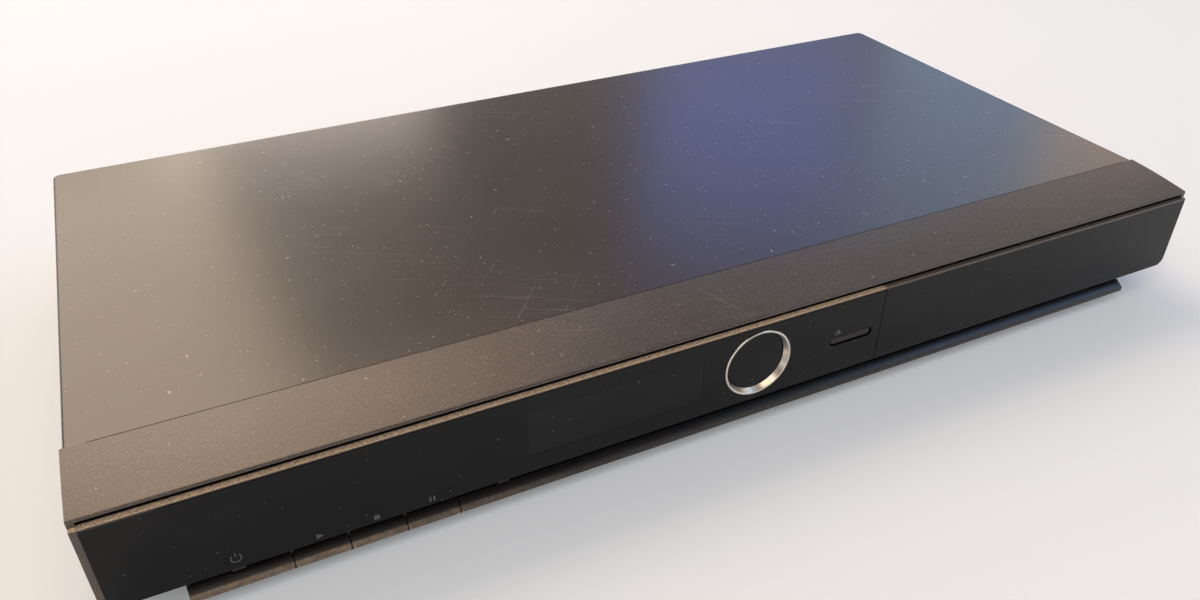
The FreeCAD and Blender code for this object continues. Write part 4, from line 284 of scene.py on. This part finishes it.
def metal(name, colour, rough, along=None, spangle=0.0):
    """Metal with a brushed direction, or with the spangle of a zinc coat."""
    f = Finish(name, colour, rough, metal=1.0)
    where = f.stretch(*along) if along else f.place
    lines = f.noise(1.0 if along else 300.0, 3.0, 0.6, where)
    base = f.mix(f.ramp(lines, 0.35, 0.65), darker(colour, 0.86), lighter(colour, 1.08))
    if spangle:
        flakes = f.node("ShaderNodeTexVoronoi", {"Vector": f.place, "Scale": spangle})
        tone = f.node("ShaderNodeSeparateColor", {0: flakes.outputs["Color"]}).outputs[0]
        base = f.mix(f.times(tone, 0.35), base, darker(colour, 0.7))
    f.feed(base, "Base Color")
    f.feed(f.ramp(lines, 0.3, 0.7, rough * 0.8, rough * 1.25), "Roughness")
    f.bump(lines, 0.00001, 0.3)
    return f.mat


def clear_plastic(name, colour, rough, alpha):
    f = Finish(name, colour, rough, ior=1.49, alpha=alpha)
    haze = f.noise(80.0, 3.0)
    f.feed(f.mix(f.ramp(haze, 0.3, 0.7), colour, lighter(colour, 1.1, 0.01)), "Base Color")
    f.feed(f.ramp(haze, 0.3, 0.7, rough * 0.7, rough * 1.6), "Roughness")
    return f.mat


def circuit_board():
    """Green solder mask over copper tracks, with pale pads."""
    f = Finish("board_mask", (0.02, 0.12, 0.05), 0.35)
    across = f.node("ShaderNodeTexWave", {"Vector": f.place, "Scale": 130.0, "Distortion": 6.0, "Detail": 1.0})
    tracks = f.ramp(across.outputs["Fac"], 0.55, 0.62)
    base = f.mix(tracks, (0.012, 0.10, 0.035), (0.03, 0.19, 0.08))
    cell = f.node("ShaderNodeTexVoronoi", {"Vector": f.place, "Scale": 420.0})
    pads = f.ramp(cell.outputs["Distance"], 0.14, 0.1)
    f.feed(f.mix(f.times(pads, 0.8), base, (0.62, 0.62, 0.58)), "Base Color")
    f.bump(tracks, 0.00003, 0.5)
    return f.mat


def printed(name, colour):
    """Printing ink, slightly worn."""
    f = Finish(name, colour, 0.5)
    f.feed(f.mix(f.ramp(f.noise(900.0, 3.0), 0.35, 0.7), darker(colour, 0.7), colour), "Base Color")
    return f.mat


FINISHES = {
    "cover_black": satin_cover(),
    "bezel_black": flecked_moulding(),
    "fascia_black": gloss_acrylic("fascia_gloss", (0.003, 0.003, 0.0035), 0.05),
    "window_smoke": gloss_acrylic("window_smoke", (0.006, 0.0065, 0.008), 0.04),
    "inset_black": gloss_acrylic("inset_gloss", (0.005, 0.005, 0.006), 0.06),
    "ring_silver": metal("ring_plate", (0.80, 0.74, 0.65), 0.24, (60.0, 60.0, 60.0)),
    "key_black": flecked_keys(),
    "clear_guide": clear_plastic("guide_smoke", (0.03, 0.032, 0.036), 0.2, 0.95),
    "tray_black": plain_moulding("tray_matt", (0.022, 0.022, 0.023), 0.5, 1600.0, 0.00004),
    "gear_white": plain_moulding("acetal", (0.78, 0.77, 0.72), 0.35, 900.0),
    "belt_rubber": plain_moulding("belt_rubber", (0.015, 0.015, 0.015), 0.75),
    "motor_steel": metal("motor_can", (0.62, 0.62, 0.61), 0.3, (90.0, 90.0, 700.0)),
    "loader_black": plain_moulding("loader_moulding", (0.03, 0.03, 0.032), 0.45),
    "plain_steel": metal("zinc_sheet", (0.66, 0.67, 0.68), 0.38, None, 260.0),
    "ground_steel": metal("ground_rod", (0.75, 0.75, 0.76), 0.14, (900.0, 60.0, 900.0)),
    "sled_metal": metal("die_cast", (0.5, 0.5, 0.5), 0.45),
    "lens_glass": clear_plastic("lens_coat", (0.35, 0.5, 0.75), 0.03, 0.8),
    "screw_black": metal("screw_dark", (0.07, 0.07, 0.07), 0.35),
    "screw_zinc": metal("screw_bright", (0.68, 0.68, 0.66), 0.28),
    "foot_rubber": plain_moulding("foot_rubber", (0.02, 0.02, 0.02), 0.8, 1200.0, 0.00005),
    "panel_black": plain_moulding("panel_paint", (0.028, 0.027, 0.026), 0.4, 1500.0, 0.00003),
    "board_green": circuit_board(),
    "chip_black": plain_moulding("package_black", (0.02, 0.02, 0.021), 0.55, 2600.0),
    "fin_metal": metal("fin_aluminium", (0.72, 0.72, 0.73), 0.35, (60.0, 900.0, 900.0)),
    "ferrite_grey": plain_moulding("ferrite", (0.09, 0.09, 0.095), 0.6),
    "can_sleeve": plain_moulding("sleeve_blue", (0.02, 0.035, 0.11), 0.3),
    "display_glass": clear_plastic("display_glass", (0.06, 0.08, 0.08), 0.06, 0.95),
    "ribbon_white": plain_moulding("ribbon", (0.7, 0.7, 0.72), 0.4),
    "port_metal": metal("port_shell", (0.66, 0.66, 0.67), 0.26, (400.0, 60.0, 400.0)),
    "port_black": plain_moulding("port_moulding", (0.02, 0.02, 0.021), 0.5),
    "jack_metal": metal("jack_nickel", (0.76, 0.74, 0.69), 0.18, (300.0, 900.0, 300.0)),
}

for entry in frame["record"]["subparts"]:
    mesh = frame["nodes"][entry["node"]].data
    mesh.materials.clear()
    mesh.materials.append(FINISHES[entry["material_slot"]])


# Printed signs on the front: plain pictograms in millimetres, each a thin layer of ink

INK = printed("ink_grey", (0.10, 0.10, 0.105))
INK_THICK = 0.04
STROKE = 0.38
ARC_STEPS = 28


def arc(r, start, end):
    """Points along an arc round the origin, both ends included."""
    turn = [math.radians(start + (end - start) * i / ARC_STEPS) for i in range(ARC_STEPS + 1)]
    return [(r * math.cos(a), r * math.sin(a)) for a in turn]


def band(points, width):
    """A closed outline that follows an open path at half the width on each side."""
    left = []
    right = []
    for i, p in enumerate(points):
        a = Vector(points[max(i - 1, 0)])
        b = Vector(points[min(i + 1, len(points) - 1)])
        side = Vector((-(b - a).y, (b - a).x)).normalized() * width / 2
        left.append((p[0] + side.x, p[1] + side.y))
        right.append((p[0] - side.x, p[1] - side.y))
    return left + list(reversed(right))


def oblong(x0, x1, y0, y1):
    return [(x0, y0), (x1, y0), (x1, y1), (x0, y1)]


def sign(name, outlines, x, rise):
    """Ink in the shape of flat outlines on the fascia, at a height over its lower edge."""
    curve = bpy.data.curves.new(name, "CURVE")
    curve.dimensions = "2D"
    curve.fill_mode = "BOTH"
    curve.extrude = INK_THICK * MM / 2
    for points in outlines:
        spline = curve.splines.new("POLY")
        spline.points.add(len(points) - 1)
        for p, (px, py) in zip(spline.points, points):
            p.co = (px * MM, py * MM, 0.0, 1.0)
        spline.use_cyclic_u = True
    maker = bpy.data.objects.new(name + "_maker", curve)
    scene.collection.objects.link(maker)
    bpy.context.view_layer.update()
    mesh = bpy.data.meshes.new_from_object(maker.evaluated_get(bpy.context.evaluated_depsgraph_get()))
    bpy.data.objects.remove(maker)
    upright = Matrix.Rotation(math.radians(90), 4, "X")
    mesh.transform(Matrix.Translation((x * MM, FACE, FASCIA_LOW + rise * MM)) @ upright)
    piece = bpy.data.objects.new(name, mesh)
    scene.collection.objects.link(piece)
    mesh.materials.clear()
    mesh.materials.append(INK)
    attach(piece, "chassis")


def middle(node):
    low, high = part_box(node)
    return (low.x + high.x) / 2 / MM


def front_signs():
    power = [band(arc(1.5, 130, 410), STROKE), band([(0, 0.6), (0, 2.1)], STROKE)]
    sign("power_sign", power, middle("power_key"), 4.2)
    sign("play_sign", [[(-0.9, -1.1), (1.2, 0.0), (-0.9, 1.1)]], middle("play_key"), 2.2)
    sign("stop_sign", [oblong(-0.9, 0.9, -0.9, 0.9)], middle("stop_key"), 2.2)
    bars = [oblong(x - 0.32, x + 0.32, -1.0, 1.0) for x in (-0.65, 0.65)]
    sign("pause_sign", bars, middle("pause_key"), 2.3)
    eject = [[(-1.3, -0.2), (1.3, -0.2), (0.0, 1.3)], oblong(-1.3, 1.3, -1.0, -0.55)]
    sign("eject_sign", eject, middle("eject_key") - 6.5, 18.6)


def slot_end():
    """The web that closes the slot under the nose at its right end."""
    low = (HALF - 2.0 * MM, FACE + 1.02 * MM, LEDGE + 0.2 * MM)
    high = (HALF - 0.1 * MM, FACE + 4.6 * MM, LEDGE + 1.9 * MM)
    mesh = bpy.data.meshes.new("slot_end")
    corners = [(x, y, z) for x in (low[0], high[0]) for y in (low[1], high[1]) for z in (low[2], high[2])]
    faces = [(0, 1, 3, 2), (4, 6, 7, 5), (0, 4, 5, 1), (2, 3, 7, 6), (0, 2, 6, 4), (1, 5, 7, 3)]
    mesh.from_pydata(corners, [], faces)
    mesh.materials.append(FINISHES["bezel_black"])
    piece = bpy.data.objects.new("slot_end", mesh)
    scene.collection.objects.link(piece)
    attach(piece, "chassis")


front_signs()
slot_end()


# Floor, lights and camera

FLOOR_HALF = 6.0

# The floor shows a little brighter than it is lit, and far out as pale as the sky behind it
FLOOR_GLOW = (0.17, 0.60)
GLOW_REACH = (1.2, 3.6)

# The sky: a pale horizon, and over it a dim room that is warm on the left and cool on the right.
# Each range is one of a direction's X or Z.
HORIZON = (0.80, 0.80, 0.80)
ROOM_LEFT = (0.34, 0.29, 0.265)
ROOM_RIGHT = (0.27, 0.285, 0.34)
ROOM_TURN = (0.38, 0.66)
HORIZON_RISE = (0.05, 0.30)

# Name, place, aim, width, height, brightness of the lamp's face, colour
LAMPS = [
    ("key_light", (-1.0, -1.2, 1.6), (0, 0, 0), 1.4, 1.0, 1.8, (1.0, 0.90, 0.79)),
    ("fill_light", (1.45, -0.75, 1.35), (0, 0, 0), 0.9, 0.9, 2.6, (0.40, 0.66, 1.0)),
    ("top_light", (-0.35, -0.4, 1.7), (-0.1, -0.1, 0), 0.9, 0.7, 1.6, (1.0, 0.82, 0.64)),
    ("back_left_light", (-0.54, 1.5, 1.5), (-0.15, 0.0, 0.05), 1.15, 1.9, 2.95, (1.0, 0.84, 0.66)),
    ("low_back_light", (0.15, 2.1, 0.62), (-0.1, 0.1, 0.05), 0.66, 0.45, 4.2, (1.0, 0.88, 0.79)),
    ("high_back_light", (-0.05, 1.1, 1.65), (-0.1, -0.1, 0.05), 1.0, 0.7, 2.6, (1.0, 0.80, 0.64)),
    ("back_right_light", (1.25, 1.70, 1.02), (0.12, 0.0, 0.05), 0.56, 0.56, 1.6, (0.17, 0.31, 1.0)),
    ("far_right_light", (1.60, 1.30, 0.92), (0.17, 0.0, 0.05), 0.42, 0.8, 1.2, (0.36, 0.62, 1.0)),
    ("right_light", (1.79, 0.88, 0.75), (0.2, -0.07, 0.05), 0.5, 0.5, 1.5, (1.0, 0.76, 0.56)),
]

# The camera stands close to the front left corner, a little above, with a wide lens
CAMERA_PLACE = (-0.16571, FACE - 0.22069, TOP + 0.18824)
CAMERA_AHEAD = (0.3596, 0.74683, -0.5594)
CAMERA_UP = (0.24237, 0.50416, 0.8289)
CAMERA_LENS = 29.14


def pale_floor():
    f = Finish("floor_pale", (0.8, 0.8, 0.8), 0.9)
    path = f.node("ShaderNodeLightPath").outputs
    seen = f.plus(f.plus(path["Is Camera Ray"], path["Is Glossy Ray"]), path["Is Transmission Ray"])
    away = f.node("ShaderNodeVectorMath", {0: f.place}, operation="LENGTH").outputs["Value"]
    f.set("Emission Color", (0.88, 0.96, 1.0, 1.0))
    f.feed(f.times(seen, f.ramp(away, *GLOW_REACH, *FLOOR_GLOW)), "Emission Strength")
    f.feed(f.mix(f.noise(3.0, 2.0), (0.77, 0.79, 0.81), (0.80, 0.82, 0.84)), "Base Color")
    return f.mat


def make_floor():
    mesh = bpy.data.meshes.new("floor")
    corners = [(x * FLOOR_HALF, y * FLOOR_HALF, 0) for x, y in ((-1, -1), (1, -1), (1, 1), (-1, 1))]
    mesh.from_pydata(corners, [], [(0, 1, 2, 3)])
    mesh.materials.append(pale_floor())
    floor = bpy.data.objects.new("floor", mesh)
    scene.collection.objects.link(floor)


def make_sky():
    world = bpy.data.worlds.new("studio")
    scene.world = world
    world.use_nodes = True
    sky = Nodes(world.node_tree)
    way = sky.node("ShaderNodeTexCoord").outputs["Generated"]
    parts = sky.node("ShaderNodeSeparateXYZ", {0: way}).outputs
    room = sky.mix(sky.ramp(parts["X"], *ROOM_TURN), ROOM_LEFT, ROOM_RIGHT)
    colour = sky.mix(sky.ramp(parts["Z"], *HORIZON_RISE), HORIZON, room)
    sky.tree.links.new(colour, sky.tree.nodes["Background"].inputs["Color"])


def soft_box(name, at, aim, wide, high, level, colour):
    """A soft lamp whose face has the same brightness at any size."""
    lamp = bpy.data.lights.new(name, "AREA")
    lamp.shape = "RECTANGLE"
    lamp.size = wide
    lamp.size_y = high
    lamp.energy = level * math.pi * wide * high
    lamp.color = colour
    holder = bpy.data.objects.new(name, lamp)
    scene.collection.objects.link(holder)
    holder.location = at
    holder.rotation_euler = (Vector(aim) - Vector(at)).to_track_quat("-Z", "Y").to_euler()
    holder.visible_camera = False


def add_camera():
    data = bpy.data.cameras.new("camera")
    data.sensor_fit = "HORIZONTAL"
    data.sensor_width = 36.0
    data.lens = CAMERA_LENS
    data.clip_start = 0.01
    holder = bpy.data.objects.new("camera", data)
    scene.collection.objects.link(holder)
    ahead = Vector(CAMERA_AHEAD).normalized()
    right = ahead.cross(Vector(CAMERA_UP)).normalized()
    up = right.cross(ahead)
    turn = Matrix((right, up, -ahead)).transposed().to_4x4()
    holder.matrix_world = Matrix.Translation(CAMERA_PLACE) @ turn
    scene.camera = holder


make_floor()
make_sky()
for settings in LAMPS:
    soft_box(*settings)
add_camera()
scene.view_settings.view_transform = "Standard"
